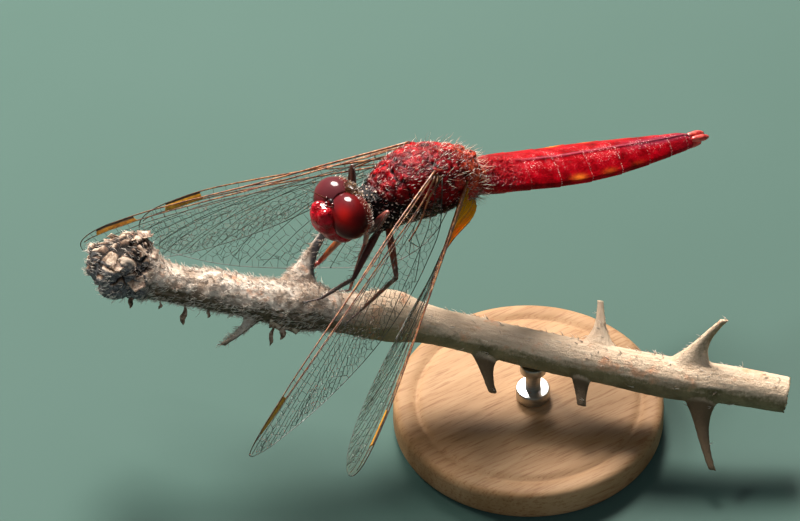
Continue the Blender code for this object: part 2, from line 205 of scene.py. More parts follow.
# %% Studio
def soft_lamp(name, offset, width, watts, colour, mirrored=True, lights_colours=True):
    """A round lamp that looks at the insect from an offset in millimetres."""
    light = bpy.data.lights.new(name, "AREA")
    light.shape = "DISK"
    light.size = width * MM
    light.energy = watts
    light.color = linear(colour)[:3]
    made = bpy.data.objects.new(name, light)
    made.visible_glossy = mirrored
    made.visible_diffuse = lights_colours
    made.location = world(offset)
    made.rotation_euler = Vector(offset).to_track_quat("Z", "Y").to_euler()
    bpy.context.scene.collection.objects.link(made)


soft_lamp("lamp_above", (104, 257, 314), 150, 3.9, "#FFF6EA")
soft_lamp("lamp_glints", (112, 250, 314), 235, 7.0, "#FFFAF4", lights_colours=False)
soft_lamp("lamp_beside", (-130, 290, 260), 160, 2.3, "#FFF6EA", mirrored=False)
soft_lamp("lamp_fill", (-300, -420, 260), 300, 0.45, "#EEF4FF", mirrored=False)
bpy.context.scene.view_settings.view_transform = "Standard"       # keeps strong reds strong
sky = bpy.data.worlds.new("studio_sky")
sky.use_nodes = True
sky.node_tree.nodes["Background"].inputs["Color"].default_value = linear("#DCE6E2")
sky.node_tree.nodes["Background"].inputs["Strength"].default_value = 0.15
bpy.context.scene.world = sky

bpy.ops.object.select_all(action="DESELECT")
bpy.ops.mesh.primitive_plane_add(size=3.0, location=(0, 0, 0))
floor = bpy.context.object
floor.name = "studio_floor"
floor_paint, tree, shader, spread = new_finish("matt_floor_paint", Roughness=0.9, Specular_IOR_Level=0.2)
mottle = add(tree, "TexNoise", {"Vector": spread, "Scale": per(60), "Detail": 4.0})
tint = add(tree, "ValToRGB", {"Fac": mottle}, [(0.3, "#425D57"), (0.7, "#46605B")])
wire(shader, Base_Color=tint)
floor.data.materials.append(floor_paint)

# %% [markdown]
# ## Three ways to make a surface
# Most of an insect is tubes: a section carried along a line, growing and shrinking. A flat grid
# whose corners are moved to where a formula says gives such a tube, and it brings a tidy UV map
# with it. Fine things, such as hairs, spines and wing veins, are thin rods that are built
# together as one mesh, because thousands of separate objects would be slow. Hair is then sown
# over a skin by chance, each tuft lying the way that the coat lies.

# %% A smooth curve through stations
def between(stations, at):
    """Values between stations, on a smooth curve. The first column is where each station is."""
    table = np.array(stations, float)
    x, y = table[:, 0], table[:, 1:]
    slope = np.gradient(y, x, axis=0)
    at = np.clip(np.asarray(at, float), x[0], x[-1])
    i = np.clip(np.searchsorted(x, at, side="right") - 1, 0, len(x) - 2)
    step = (x[i + 1] - x[i])[..., None]
    t = ((at - x[i]) / (x[i + 1] - x[i]))[..., None]
    found = ((2 * t**3 - 3 * t**2 + 1) * y[i] + (t**3 - 2 * t**2 + t) * step * slope[i]
             + (3 * t**2 - 2 * t**3) * y[i + 1] + (t**3 - t**2) * step * slope[i + 1])
    return np.moveaxis(found, -1, 0)

# %% Reading, moving and marking a mesh
def points_of(mesh):
    places = np.empty(len(mesh.vertices) * 3, np.float32)
    mesh.vertices.foreach_get("co", places)
    return places.reshape(-1, 3).astype(float)


def put_points(mesh, places):
    mesh.vertices.foreach_set("co", np.asarray(places, np.float32).ravel())
    mesh.update()


def normals_of(mesh):
    found = np.empty(len(mesh.vertices) * 3, np.float32)
    mesh.vertices.foreach_get("normal", found)
    return found.reshape(-1, 3).astype(float)


def mark(mesh, **numbers):
    """Keeps numbers for each vertex under their names, for a finish to read."""
    for name, values in numbers.items():
        kept = mesh.attributes.new(name, "FLOAT", "POINT")
        kept.data.foreach_set("value", np.asarray(values, np.float32).ravel())

# %% A grid bent into a tube
def edit(action):
    """Runs one edit-mode action on all of the active object's mesh."""
    bpy.ops.object.mode_set(mode="EDIT")
    bpy.ops.mesh.select_all(action="SELECT")
    action()
    bpy.ops.object.mode_set(mode="OBJECT")


def tidy_normals():
    bpy.ops.mesh.remove_doubles(threshold=0.000002)
    bpy.ops.mesh.normals_make_consistent(inside=False)


def wrap(name, around, along, place, ends=True):
    """A grid bent into a tube. place(u, v) gives world points for u round it and v along it."""
    bpy.ops.object.select_all(action="DESELECT")
    bpy.ops.mesh.primitive_grid_add(x_subdivisions=around, y_subdivisions=along, size=2)
    made = bpy.context.object
    made.name = made.data.name = name
    flat = points_of(made.data)
    put_points(made.data, place((flat[:, 0] + 1) / 2, (flat[:, 1] + 1) / 2))
    edit(tidy_normals)
    if ends:
        bpy.ops.object.mode_set(mode="EDIT")
        bpy.ops.mesh.select_all(action="DESELECT")
        bpy.ops.mesh.select_mode(type="EDGE")
        bpy.ops.mesh.select_non_manifold()
        bpy.ops.mesh.fill_holes(sides=0)
        bpy.ops.mesh.select_all(action="SELECT")
        bpy.ops.mesh.normals_make_consistent(inside=False)
        bpy.ops.mesh.select_mode(type="VERT")
        bpy.ops.object.mode_set(mode="OBJECT")
    bpy.ops.object.shade_smooth()
    return made

# %% Eggs, and how shapes are joined and melted
def ball(name, centre, half_sizes, tilt=0.0, segments=48, rings=32):
    """An egg shape, pressed from a sphere in edit mode. Centre and half sizes are in millimetres."""
    bpy.ops.object.select_all(action="DESELECT")
    bpy.ops.mesh.primitive_uv_sphere_add(segments=segments, ring_count=rings, radius=1.0)
    made = bpy.context.object
    made.name = made.data.name = name
    places = points_of(made.data) * np.array(half_sizes)
    c, s = cos(radians(tilt)), sin(radians(tilt))
    turned = np.stack([places[:, 0] * c + places[:, 2] * s, places[:, 1],
                       -places[:, 0] * s + places[:, 2] * c], axis=-1)
    put_points(made.data, world(turned + np.array(centre)))
    bpy.ops.object.shade_smooth()
    return made


def join(name, pieces):
    bpy.ops.object.select_all(action="DESELECT")
    for piece in pieces:
        piece.select_set(True)
    bpy.context.view_layer.objects.active = pieces[0]
    bpy.ops.object.join()
    pieces[0].name = pieces[0].data.name = name
    return pieces[0]


def apply(piece, kind, **settings):
    """Adds one modifier and applies it."""
    bpy.context.view_layer.objects.active = piece
    modifier = piece.modifiers.new(kind.lower(), kind)
    for name, value in settings.items():
        setattr(modifier, name, value)
    bpy.ops.object.modifier_apply(modifier=modifier.name)


def one_skin(piece, voxel_mm, smoothing=4):
    """Melts overlapping shapes into one closed skin with soft creases."""
    apply(piece, "REMESH", mode="VOXEL", voxel_size=voxel_mm * MM)
    apply(piece, "SMOOTH", factor=0.5, iterations=smoothing)
    bpy.context.view_layer.objects.active = piece
    piece.select_set(True)
    bpy.ops.object.shade_smooth()

# %% Chance bumps and thin rods
def bumps(places, size_mm, octaves=3):
    """Smooth chance bumps from -1 to 1 at each place."""
    return np.array([noise.fractal(Vector(p) * per(size_mm), 1.0, 2.0, octaves) for p in places])


def strands(name, lines, sides=4):
    """Joins thin rods into one mesh. A line holds its route and radii in metres, and may hold a
    tone and the place of its root on the skin's unwrap."""
    places, faces, tones, maps = [], [], [], []
    start = 0
    for count in sorted({len(line["route"]) for line in lines}):
        group = [line for line in lines if len(line["route"]) == count]
        route = np.array([line["route"] for line in group], float)
        radius = np.array([line["radii"] for line in group], float)
        heading = np.gradient(route, axis=1)
        heading /= np.linalg.norm(heading, axis=2, keepdims=True) + 1e-12
        spare = np.where(np.abs(heading[:, :1, 2:]) < 0.8, (0.0, 0.0, 1.0), (1.0, 0.0, 0.0))
        side = np.cross(heading, spare)
        side /= np.linalg.norm(side, axis=2, keepdims=True)
        over = np.cross(side, heading)
        turn = 2 * pi * np.arange(sides) / sides
        ring = (np.cos(turn)[:, None] * side[:, :, None] + np.sin(turn)[:, None] * over[:, :, None])
        shell = route[:, :, None] + ring * radius[:, :, None, None]
        places.append(shell.reshape(-1, 3))
        first = start + np.arange(len(group))[:, None, None] * count * sides
        low = first + np.arange(count - 1)[None, :, None] * sides + np.arange(sides)
        high = low - np.arange(sides) + (np.arange(sides) + 1) % sides
        quads = np.stack([low, low + sides, high + sides, high], axis=-1).reshape(-1, 4)
        base = first[:, :, 0] + np.arange(sides)
        faces += [list(face) for face in quads.tolist()]
        faces += base.tolist() + (base[:, ::-1] + (count - 1) * sides).tolist()
        tone = np.array([np.broadcast_to(line.get("tone", 0.0), count) for line in group])
        tones.append(np.repeat(tone.ravel(), sides))
        root = np.array([line.get("root", (0.0, 0.0)) for line in group], float)
        patch = np.stack(np.meshgrid(np.arange(count) / count, np.arange(sides) / sides,
                                     indexing="ij"), axis=-1) * 0.003
        maps.append((root[:, None, None] + patch).reshape(-1, 2))
        start += len(group) * count * sides
    mesh = bpy.data.meshes.new(name)
    mesh.from_pydata(np.concatenate(places).tolist(), [], faces)
    mark(mesh, tone=np.concatenate(tones))
    corner = np.empty(len(mesh.loops), np.int32)
    mesh.loops.foreach_get("vertex_index", corner)
    if "root" in lines[0]:
        baked = mesh.uv_layers.new(name="OFBake")
        baked.data.foreach_set("uv", np.concatenate(maps)[corner].astype(np.float32).ravel())
    mesh.shade_smooth()
    made = bpy.data.objects.new(name, mesh)
    bpy.context.scene.collection.objects.link(made)
    return made

# %% Sowing hair
def unwrap(piece):
    """An unwrap of the skin's own shape, which the coat's bake map follows."""
    bpy.ops.object.select_all(action="DESELECT")
    piece.select_set(True)
    bpy.context.view_layer.objects.active = piece
    edit(lambda: bpy.ops.uv.smart_project(angle_limit=radians(66), island_margin=0.002))


def sow(skin, count, seed, growth):
    """Roots of tufts on a skin. growth(places, normals) gives each a share of growth from 0 to 1."""
    mesh = skin.data
    mesh.calc_loop_triangles()
    tris = np.array([t.vertices for t in mesh.loop_triangles])
    loops = np.array([t.loops for t in mesh.loop_triangles])
    corner = points_of(mesh)[tris]
    normal = normals_of(mesh)[tris]
    uv = np.empty(len(mesh.loops) * 2, np.float32)
    mesh.uv_layers.active.data.foreach_get("uv", uv)
    uv = uv.reshape(-1, 2)[loops]
    area = np.linalg.norm(np.cross(corner[:, 1] - corner[:, 0], corner[:, 2] - corner[:, 0]), axis=1)
    chance = np.random.default_rng(seed)
    chosen = chance.choice(len(tris), size=count, p=area / area.sum())
    share = chance.dirichlet((1, 1, 1), count)[:, :, None]
    places = (corner[chosen] * share).sum(axis=1)
    out = (normal[chosen] * share).sum(axis=1)
    out /= np.linalg.norm(out, axis=1, keepdims=True)
    roots = (uv[chosen] * share).sum(axis=1)
    kept = chance.random(count) < growth(places, out)
    return places[kept], out[kept], roots[kept], chance


def hair(name, skin, count, seed, growth, lie, length_mm, stand=0.4, each=1, width_mm=0.035, bend=0.25):
    """Tufts over a skin. lie is the way the hair lies, stand how far it stands off the skin."""
    places, out, roots, chance = sow(skin, count, seed, growth)
    lines = []
    for place, up, root in zip(places, out, roots):
        flat = lie(place) if callable(lie) else np.array(lie, float)
        flat = flat - up * flat.dot(up)
        flat /= np.linalg.norm(flat) + 1e-9
        for _ in range(each):
            spread = chance.normal(0, 0.28, 3)
            reach = length_mm * MM * chance.uniform(0.55, 1.15)
            start = up * stand + flat * (1 - stand) + spread
            start /= np.linalg.norm(start)
            if start.dot(up) < 0.12:
                start = start + up * (0.15 - start.dot(up))
            end = start + flat * bend - up * bend * 0.4
            middle_way = place + start * reach * 0.5
            route = [place - up * 0.03 * MM, middle_way, place + (start * 0.5 + end * 0.5) * reach]
            lines.append(dict(route=route, radii=np.array((1.0, 0.75, 0.2)) * width_mm * MM,
                              tone=chance.random(), root=root))
    made = strands(name, lines, sides=3)
    print(f"{name}: {len(lines)} hairs")
    return made

# %% [markdown]
# ## The abdomen
# Ten hard rings telescope into each other. Each one flares slightly towards its rear edge and
# steps down to the next, a low keel runs along the top, and the flanks meet the flat belly in a
# rounded edge. Ten tubes would leave seams that a real specimen doesn't show, so one grid is
# shaped by a formula, and the same formula says where the pale joints and the keel are.

# %% The abdomen's shape in numbers
RING_ENDS = (0.9, 2.2, 4.6, 7.9, 11.4, 14.9, 18.2, 20.8, 22.8, 23.6)
ABDOMEN_START, ABDOMEN_LEVEL = 4.75, -2.85
# distance from the first ring's front, half width, height of ridge, depth of belly, level
ABDOMEN = ((-0.5, 1.5, 1.35, 1.35, 0.3), (0.0, 1.75, 1.45, 1.35, 0.3), (1.2, 2.15, 1.5, 1.5, 0.35),
           (2.4, 2.4, 1.4, 1.2, 0.3), (4.6, 2.55, 1.3, 0.8, 0.15), (7.9, 2.6, 1.25, 0.65, 0.0),
           (11.4, 2.55, 1.25, 0.6, 0.0), (14.9, 2.25, 1.2, 0.6, 0.1), (18.2, 1.8, 1.05, 0.6, 0.3),
           (20.8, 1.4, 0.9, 0.55, 0.5), (22.8, 1.05, 0.8, 0.5, 0.65), (23.75, 0.8, 0.6, 0.42, 0.65))
# half of the section, from the top: turn, share of width, share of ridge, share of belly
SECTION = ((0.0, 0.0, 1.0, 0.0), (0.16, 0.34, 0.88, 0.0), (0.31, 0.68, 0.56, 0.0),
           (0.43, 0.93, 0.22, 0.0), (0.51, 1.0, -0.02, 0.08), (0.62, 0.88, 0.0, 0.5),
           (0.78, 0.55, 0.0, 0.9), (1.0, 0.0, 0.0, 1.0))

# %% Abdomen
def ring_share(distance):
    """How far along its ring each distance is, from 0 at its front to 1 at its rear edge."""
    edges = np.array((ABDOMEN[0][0],) + RING_ENDS)
    ring = np.clip(np.searchsorted(edges, distance, side="right") - 1, 0, len(edges) - 2)
    return (distance - edges[ring]) / (edges[ring + 1] - edges[ring])


def near(value, centre, width):
    """1 at the centre, fading to 0 over the width."""
    return np.exp(-((value - centre) / width) ** 2)


def fade_in(past, over):
    """0 until a place is past its start, then growing to 1 over this distance."""
    return np.clip(past / over, 0, 1)


def abdomen_surface(u, v):
    distance = ABDOMEN[0][0] + v * (ABDOMEN[-1][0] - ABDOMEN[0][0])
    wide, ridge, belly, level = between(ABDOMEN, distance)
    turn = 1 - np.abs(2 * u - 1)
    side, top, bottom = between(SECTION, turn)
    share = ring_share(distance)
    joint = sum(near(distance, end, 0.07) for end in RING_ENDS[:-1])
    flare = 0.975 + 0.03 * share ** 2 - 0.05 * joint
    keel = 0.1 * near(turn, 0.0, 0.035) * (distance > 1.5)
    side_keel = 0.03 * near(turn, 0.43, 0.02)
    close = np.clip((1 - v) / 0.012, 0, 1) ** 0.5
    x = np.where(u < 0.5, 1, -1) * wide * (side + side_keel) * flare * close
    z = (ridge * top - belly * bottom) * flare * close + keel
    return world(trunk(ABDOMEN_START + distance, x, ABDOMEN_LEVEL + level + z))


abdomen = wrap("abdomen", 72, 260, abdomen_surface)
back, side, height = in_trunk(points_of(abdomen.data))
distance = back - ABDOMEN_START
JOINT_WIDTH = 0.055
wide, ridge, _, level = between(ABDOMEN, distance)
rise = (height - ABDOMEN_LEVEL - level) / ridge
on_the_back = (rise > 0) * fade_in(distance - 3.0, 3.0)
# painted light: three spots on each flank glow orange, as if light came through the cuticle
glow_strengths = sum(strength * near(distance, place, 0.65)
            for place, strength in ((9.9, 0.85), (13.4, 0.35), (16.8, 0.1)))
pale_joints = sum(near(distance, end, JOINT_WIDTH) for end in RING_ENDS[3:-1])
mark(abdomen.data, rise=rise, spot=glow_strengths * near(rise, 0.3, 0.1),
     joint=pale_joints + 0.4 * near(distance, RING_ENDS[2], JOINT_WIDTH),
     keel=near(side / wide, 0.0, 0.032) * on_the_back,
     beside_keel=0.85 * near(np.abs(side) / wide, 0.075, 0.028) * on_the_back,
     tail=fade_in(distance - 20.0, 3.0), wrinkled=fade_in(4.6 - distance, 2.0),
     bloom=fade_in(distance - 15.0, 3.0) * fade_in(rise - 0.82, 0.15))
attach(abdomen, "root")
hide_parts(*(f"abdomen_{n}" for n in range(1, 11)))
print("abdomen:", len(abdomen.data.polygons), "faces")

# %% [markdown]
# ### Its finish: hard, waxed cuticle
# Insect cuticle is chitin, a natural plastic with an index of refraction near 1.56 and a satin
# gloss. The scarlet lies in it as a dye, so the colour is deep and mottled, not painted on. A
# faint blue-white bloom of wax sits on the back beside the keel, and the ring joints carry a row
# of pale specks. Three small spots on each flank are painted orange glow, painted light as if it
# came through the cuticle, and painted shade darkens the belly. The skin keeps a number for each
# of these, and each lays its own colour over the red.

# %% Abdomen finish
scarlet_cuticle, tree, shader, spread = new_finish(
    "scarlet_cuticle", IOR=1.56, Coat_Weight=0.14, Coat_Roughness=0.07, Specular_IOR_Level=0.01,
    Subsurface_Weight=0.05, Subsurface_Scale=0.0006)
shader.inputs["Subsurface Radius"].default_value = (1.0, 0.25, 0.12)
cloud = add(tree, "TexNoise", {"Vector": spread, "Scale": per(1.6), "Detail": 5.0, "Roughness": 0.6})
fine = add(tree, "TexNoise", {"Vector": spread, "Scale": per(0.16), "Detail": 3.0, "Roughness": 0.7})
wax_place = add(tree, "MapRange", {"Value": "rise", "From Min": 0.45, "From Max": 0.98})
wax_patch = add(tree, "MapRange", {"Value": cloud, "From Min": 0.42, "From Max": 0.66})
wax_grain = add(tree, "MapRange", {"Value": fine, "From Min": 0.46, "From Max": 0.8})
wax_cloud = add(tree, "Math", {0: wax_place, 1: wax_patch}, operation="MULTIPLY")
wax = add(tree, "Math", {0: wax_cloud, 1: wax_grain}, operation="MULTIPLY")
# painted shade: the lower flanks and the belly are darkened where the rise is low
under = add(tree, "MapRange", {"Value": "rise", "From Min": -0.3, "From Max": -0.9})
bloomed = add(tree, "Math", {0: "bloom", 1: 0.6}, operation="MULTIPLY")
speck_noise = add(tree, "TexVoronoi", {"Vector": spread, "Scale": per(0.13)})
speck_size = add(tree, "MapRange", {"Value": speck_noise, "From Min": 0.45, "From Max": 0.25})
wax_specks = add(tree, "MapRange", {"Value": wax, "From Min": 0.05, "From Max": 0.4})
speck_share = add(tree, "Math", {0: "joint", 1: wax_specks}, operation="MAXIMUM")
specks = add(tree, "Math", {0: speck_size, 1: speck_share}, operation="MULTIPLY")
colour = add(tree, "ValToRGB", {"Fac": cloud}, [(0.28, "#640006"), (0.5, "#9A000E"), (0.72, "#C00018")])
for share, over in ((wax, "#B84458"), (under, "#3A0106"), ("spot", "#FF8A2C"), ("tail", "#A01020"),
                    (bloomed, "#5A3048"), ("beside_keel", "#2C0108"), ("keel", "#A04456"),
                    (specks, "#F2D9D2")):
    colour = add(tree, "Mix", {"Factor": share, "A": colour, "B": over}, data_type="RGBA")
gloss = add(tree, "MapRange", {"Value": fine, "To Min": 0.3, "To Max": 0.5})
pits = add(tree, "Bump", {"Height": fine, "Distance": 0.00006, "Strength": 0.8})
dents = add(tree, "Bump", {"Height": cloud, "Distance": 0.00035, "Strength": 0.8, "Normal": pits})
# the first rings are finely wrinkled, which breaks their gloss into bright points
crease = add(tree, "TexNoise", {"Vector": spread, "Scale": per(0.32), "Detail": 3.0})
wrinkles = add(tree, "Bump", {"Height": crease, "Distance": 0.0006, "Strength": "wrinkled",
                             "Normal": dents})
wire(shader, Base_Color=colour, Roughness=gloss, Normal=wrinkles, Coat_Normal=wrinkles)
abdomen.data.materials.append(scarlet_cuticle)

# %% [markdown]
# ### The claspers
# The tail ends in two upper claspers and one lower one, a coral red. Each solid there already has
# the right place, so its two ends are read from the frame and a smooth spindle is drawn between.

# %% Reading a limb's two ends
def limb_ends(node):
    """The middles of a long solid's two ends, in metres."""
    places = points_of(bpy.data.objects[node].data)
    centre = places.mean(axis=0)
    _, _, axes = np.linalg.svd(places - centre, full_matrices=False)
    reach = (places - centre) @ axes[0]
    edge = 0.12 * (reach.max() - reach.min())
    return places[reach < reach.min() + edge].mean(axis=0), places[reach > reach.max() - edge].mean(axis=0)


def spindle(name, points, radii, around=20, along=28):
    """A round limb through a few points in metres, with radii in millimetres and domed tips."""
    points = np.array(points, float)
    steps = np.concatenate([[0], np.cumsum(np.linalg.norm(np.diff(points, axis=0), axis=1))])
    stations = np.column_stack([steps / steps[-1], points, np.array(radii) * MM])

    def surface(u, v):
        v = 0.5 - 0.5 * np.cos(pi * v)
        x, y, z, radius = between(stations, v)
        ahead = np.stack(between(stations, np.clip(v + 0.02, 0, 1))[:3], axis=-1)
        behind = np.stack(between(stations, np.clip(v - 0.02, 0, 1))[:3], axis=-1)
        heading = ahead - behind
        heading /= np.linalg.norm(heading, axis=1, keepdims=True)
        side = np.cross(heading, (0.13, 0.41, 0.9))
        side /= np.linalg.norm(side, axis=1, keepdims=True)
        over = np.cross(side, heading)
        tip = np.minimum(v, 1 - v) * steps[-1] / (radius + 1e-9)
        dome = np.sqrt(np.clip(1 - np.clip(1 - tip, 0, 1) ** 2, 0.0004, 1))
        angle = (2 * pi * u)[:, None]
        ring = np.cos(angle) * side + np.sin(angle) * over
        return np.stack([x, y, z], axis=-1) + ring * (radius * dome)[:, None]

    return wrap(name, around, along, surface)

# %% Claspers
CLASPER_RADII, LOWER_RADII = (0.2, 0.3, 0.3, 0.12), (0.26, 0.3, 0.24, 0.14)
claspers = []
for node, radii, lift in (("cercus_left", CLASPER_RADII, (0, 0.1, 0.2)),
                          ("cercus_right", CLASPER_RADII, (0, -0.1, 0)),
                          ("lower_appendage", LOWER_RADII, (0, 0, 0))):
    front, rear = sorted(limb_ends(node), key=lambda end: end[0])
    front, rear = front + np.array(lift) * MM, rear + np.array(lift) * MM
    length = rear - front
    claspers.append(spindle(node + "_spindle", (front - length * 0.25, front + length * 0.3,
                                                front + length * 0.7, rear + length * 0.06), radii))
tail_claspers = join("tail_claspers", claspers)
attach(tail_claspers, "root")
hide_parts("cercus_left", "cercus_right", "lower_appendage")
coral_cuticle, tree, shader, spread = new_finish("coral_cuticle", Roughness=0.38, IOR=1.56)
cloud = add(tree, "TexNoise", {"Vector": spread, "Scale": per(0.5), "Detail": 4.0})
coral = add(tree, "ValToRGB", {"Fac": cloud}, [(0.35, "#A4181C"), (0.65, "#E05A4C")])
grain = add(tree, "TexNoise", {"Vector": spread, "Scale": per(0.08), "Detail": 2.0})
bump = add(tree, "Bump", {"Height": grain, "Distance": 0.00003, "Strength": 0.5})
wire(shader, Base_Color=coral, Normal=bump)
tail_claspers.data.materials.append(coral_cuticle)
print("claspers:", len(tail_claspers.data.polygons), "faces")

# %% [markdown]
# ## The thorax
# The thorax is a box of wing muscle: deep, narrow, tilted back, with slanting seams down its
# sides from each wing to each leg. Its shell, the neck, the six hip cups and the lumps where the
# wings hinge all flow together, so separate shapes are melted into one skin by a voxel remesh,
# and the seams and the ridge along the back are pressed in afterwards.

# %% Thorax skin
# distance back along the body, height of the centre, half width, half height
THORAX = ((-7.2, -4.1, 0.4, 0.7), (-6.95, -4.0, 1.0, 1.5), (-6.3, -3.85, 1.7, 2.45), (-4.8, -2.95, 2.5, 3.2),
          (-3.0, -2.3, 2.85, 3.4), (-1.4, -2.08, 2.9, 3.42), (0.4, -2.05, 2.75, 3.15),
          (2.3, -2.15, 2.3, 2.75), (3.8, -2.55, 1.85, 2.1), (4.7, -2.75, 1.5, 1.6), (5.1, -2.75, 1.35, 1.4))
NECK = ((-8.9, -3.75, 0.75, 0.85), (-8.2, -3.7, 1.0, 1.1), (-7.3, -3.55, 1.3, 1.4), (-6.2, -3.5, 1.5, 1.7))
HIP_REGION = (-5.5, 0.0, -5.5)
LEGS = ("fore_left", "fore_right", "mid_left", "mid_right", "hind_left", "hind_right")


def hip_first(leg):
    """The two ends of a leg's femur, the hip before the knee."""
    belly = world(trunk(*HIP_REGION))
    return sorted(limb_ends(f"leg_{leg}_femur"), key=lambda end: np.linalg.norm(end - belly))


HIPS = {leg: in_trunk(np.array([hip_first(leg)[0]])) for leg in LEGS}


def body_tube(stations, power):
    """A tube along the trunk. At a power above 2 its section is a little squarer than an oval."""
    def surface(u, v):
        back, = between([(0.0, stations[0][0]), (1.0, stations[-1][0])], v)
        level, wide, high = between(stations, back)
        c, s = np.cos(2 * pi * u), np.sin(2 * pi * u)
        return world(trunk(back, wide * np.sign(c) * np.abs(c) ** (2 / power),
                           level + high * np.sign(s) * np.abs(s) ** (2 / power)))
    return surface


def body_ball(name, back, side, height, half_sizes):
    return ball(name, trunk(back, side, height), half_sizes, tilt=18.9, segments=24, rings=16)


# for each wing a bracket and a bead, and the shields between them: back, out, height, half sizes
HINGES = ((-2.1, 1.7, 0.45, (0.8, 0.5, 0.45)), (-1.0, 1.6, 0.5, (0.6, 0.45, 0.35)),
          (1.7, 1.65, -0.3, (0.8, 0.45, 0.45)), (-0.5, 0.6, 0.95, (0.9, 0.5, 0.35)),
          (2.0, 0.6, 0.45, (0.8, 0.5, 0.35)))
SHIELDS = ((-1.5, 1.2, (0.5, 0.4, 0.3)), (0.9, 0.95, (0.45, 0.4, 0.3)), (3.1, 0.05, (0.7, 0.6, 0.35)))
SIDE_SEAMS = ((-4.1, 0.12), (-1.2, 0.16), (1.0, 0.10), (2.2, 0.14))      # place and depth
parts = [wrap("chest", 64, 60, body_tube(THORAX, 2.3)), wrap("neck_tube", 40, 14, body_tube(NECK, 2.0))]
for leg, (back, side, height) in HIPS.items():
    parts.append(body_ball("hip", back[0] + 0.25, side[0] * 0.8, height[0] + 0.3, (0.55, 0.45, 0.7)))
for sign in (-1, 1):
    parts += [body_ball("hinge", back, sign * out, height, size) for back, out, height, size in HINGES]
parts += [body_ball("shield", back, 0.0, height, size) for back, height, size in SHIELDS]
thorax = join("thorax_skin", parts)
one_skin(thorax, 0.085, 6)
places = points_of(thorax.data)
back, side, height = in_trunk(places)
slant = back + (height + 2.2) * 0.42          # the side seams lean back as they climb
flank = np.clip(np.abs(side) / 1.2 - 0.6, 0, 1)
press = sum(depth * near(slant, place, 0.13) for place, depth in SIDE_SEAMS) * flank
press = press + 0.14 * near(back, -5.35 + 0.12 * height, 0.16) * (height > -4.6)
ridge = 0.14 * near(side, 0.0, 0.12) * fade_in(-1.5 - back, 1.5) * (height > -1.5)
rough = 0.1 * bumps(places, 0.45, 3)
put_points(thorax.data, places + normals_of(thorax.data) * (ridge - press + rough)[:, None] * MM)
# painted shade: the lower thorax, between the legs, is marked to be darkened
mark(thorax.data, coral=fade_in(back - 0.2, 2.6) * fade_in(height + 2.6, 1.6),
     dark=fade_in(-2.0 - height - 0.14 * back, 1.2), seam=np.clip(press * 6 - rough * 15 - 0.25, 0, 1))
unwrap(thorax)
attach(thorax, "root")
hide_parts("thorax", "neck")
print("thorax skin:", len(thorax.data.polygons), "faces")

# %% [markdown]
# ### Its finish: dark red cuticle
# The same chitin as the abdomen, darker and rougher. It runs from wine red on the sides to coral
# towards the rear of the back, and the seams are darkest. Painted shade makes it almost black
# between the legs, with painted glints as pale flecks in that shade.

# %% Thorax finish
wine_cuticle, tree, shader, spread = new_finish("wine_cuticle", IOR=1.56, Coat_Weight=0.36,
                                                Coat_Roughness=0.07, Specular_IOR_Level=0.01)
cloud = add(tree, "TexNoise", {"Vector": spread, "Scale": per(0.9), "Detail": 5.0, "Roughness": 0.65})
grain = add(tree, "TexNoise", {"Vector": spread, "Scale": per(0.2), "Detail": 3.0, "Roughness": 0.6})
flecks = add(tree, "TexVoronoi", {"Vector": spread, "Scale": per(0.42)})
# painted glints: small pale flecks, only where the lower thorax is painted dark
glint_size = add(tree, "MapRange", {"Value": flecks, "From Min": 0.24, "From Max": 0.14})
painted_glint_share = add(tree, "Math", {0: glint_size, 1: "dark"}, operation="MULTIPLY")
rear = add(tree, "ValToRGB", {"Fac": cloud}, [(0.34, "#5A0A04"), (0.5, "#B02A10"), (0.64, "#F06A3C")])
colour = add(tree, "ValToRGB", {"Fac": cloud}, [(0.34, "#1C0002"), (0.5, "#7E0008"), (0.64, "#C20A18")])
# painted shade turns the lower thorax almost black, and painted glints fleck it pale
for share, over in (("coral", rear), ("dark", "#080305"), ("seam", "#1C0206"), (painted_glint_share, "#F2D6C6")):
    colour = add(tree, "Mix", {"Factor": share, "A": colour, "B": over}, data_type="RGBA")
gloss = add(tree, "MapRange", {"Value": grain, "To Min": 0.3, "To Max": 0.5})
pits = add(tree, "Bump", {"Height": grain, "Distance": 0.00018, "Strength": 1.0})
dents = add(tree, "Bump", {"Height": cloud, "Distance": 0.0004, "Strength": 0.8, "Normal": pits})
wire(shader, Base_Color=colour, Roughness=gloss, Normal=dents, Coat_Normal=dents)
thorax.data.materials.append(wine_cuticle)

# %% [markdown]
# ## The head
# Two huge eyes meet on top of the head. In front of them sits the face: two rounded lobes of
# the brow, then the broad upper lip plates, then the jaws, all cherry red. Behind the eyes a
# narrow rim of the head shell shows. The face is melted into one skin as the thorax was, and the
# creases between its plates come from where the eggs meet.

# %% Head skin
def from_head(*place):
    return HEAD + np.array(place)


# place from the middle of the head, half sizes, segments and rings; then the same with a tilt
SIDE_EGGS = (("brow", (-2.3, 0.6, 0.8), (0.64, 0.48, 0.52), 32, 20),
             ("rim", (0.62, 1.1, -0.12), (1.1, 2.0, 1.98), 48, 32),
             ("cheek", (-0.7, 1.25, -1.75), (1.0, 0.9, 0.8), 32, 20))
MIDDLE_EGGS = (("brow_middle", (-1.98, 0, 0.1), (1.22, 1.46, 1.16), 0, 32, 20),
               ("lip_plate", (-1.84, 0, -0.62), (1.24, 1.6, 1.2), 0, 32, 20),
               ("jaws", (-1.05, 0, -1.95), (1.32, 1.48, 1.05), 25, 32, 20),
               ("chin", (0.1, 0, -1.9), (1.0, 1.2, 0.75), 0, 32, 20),
               ("crown", (-1.3, 0, 1.3), (0.32, 0.42, 0.34), 0, 24, 16),
               ("nape", (0.75, 0, 1.35), (0.62, 0.95, 0.78), 0, 24, 16))
parts = []
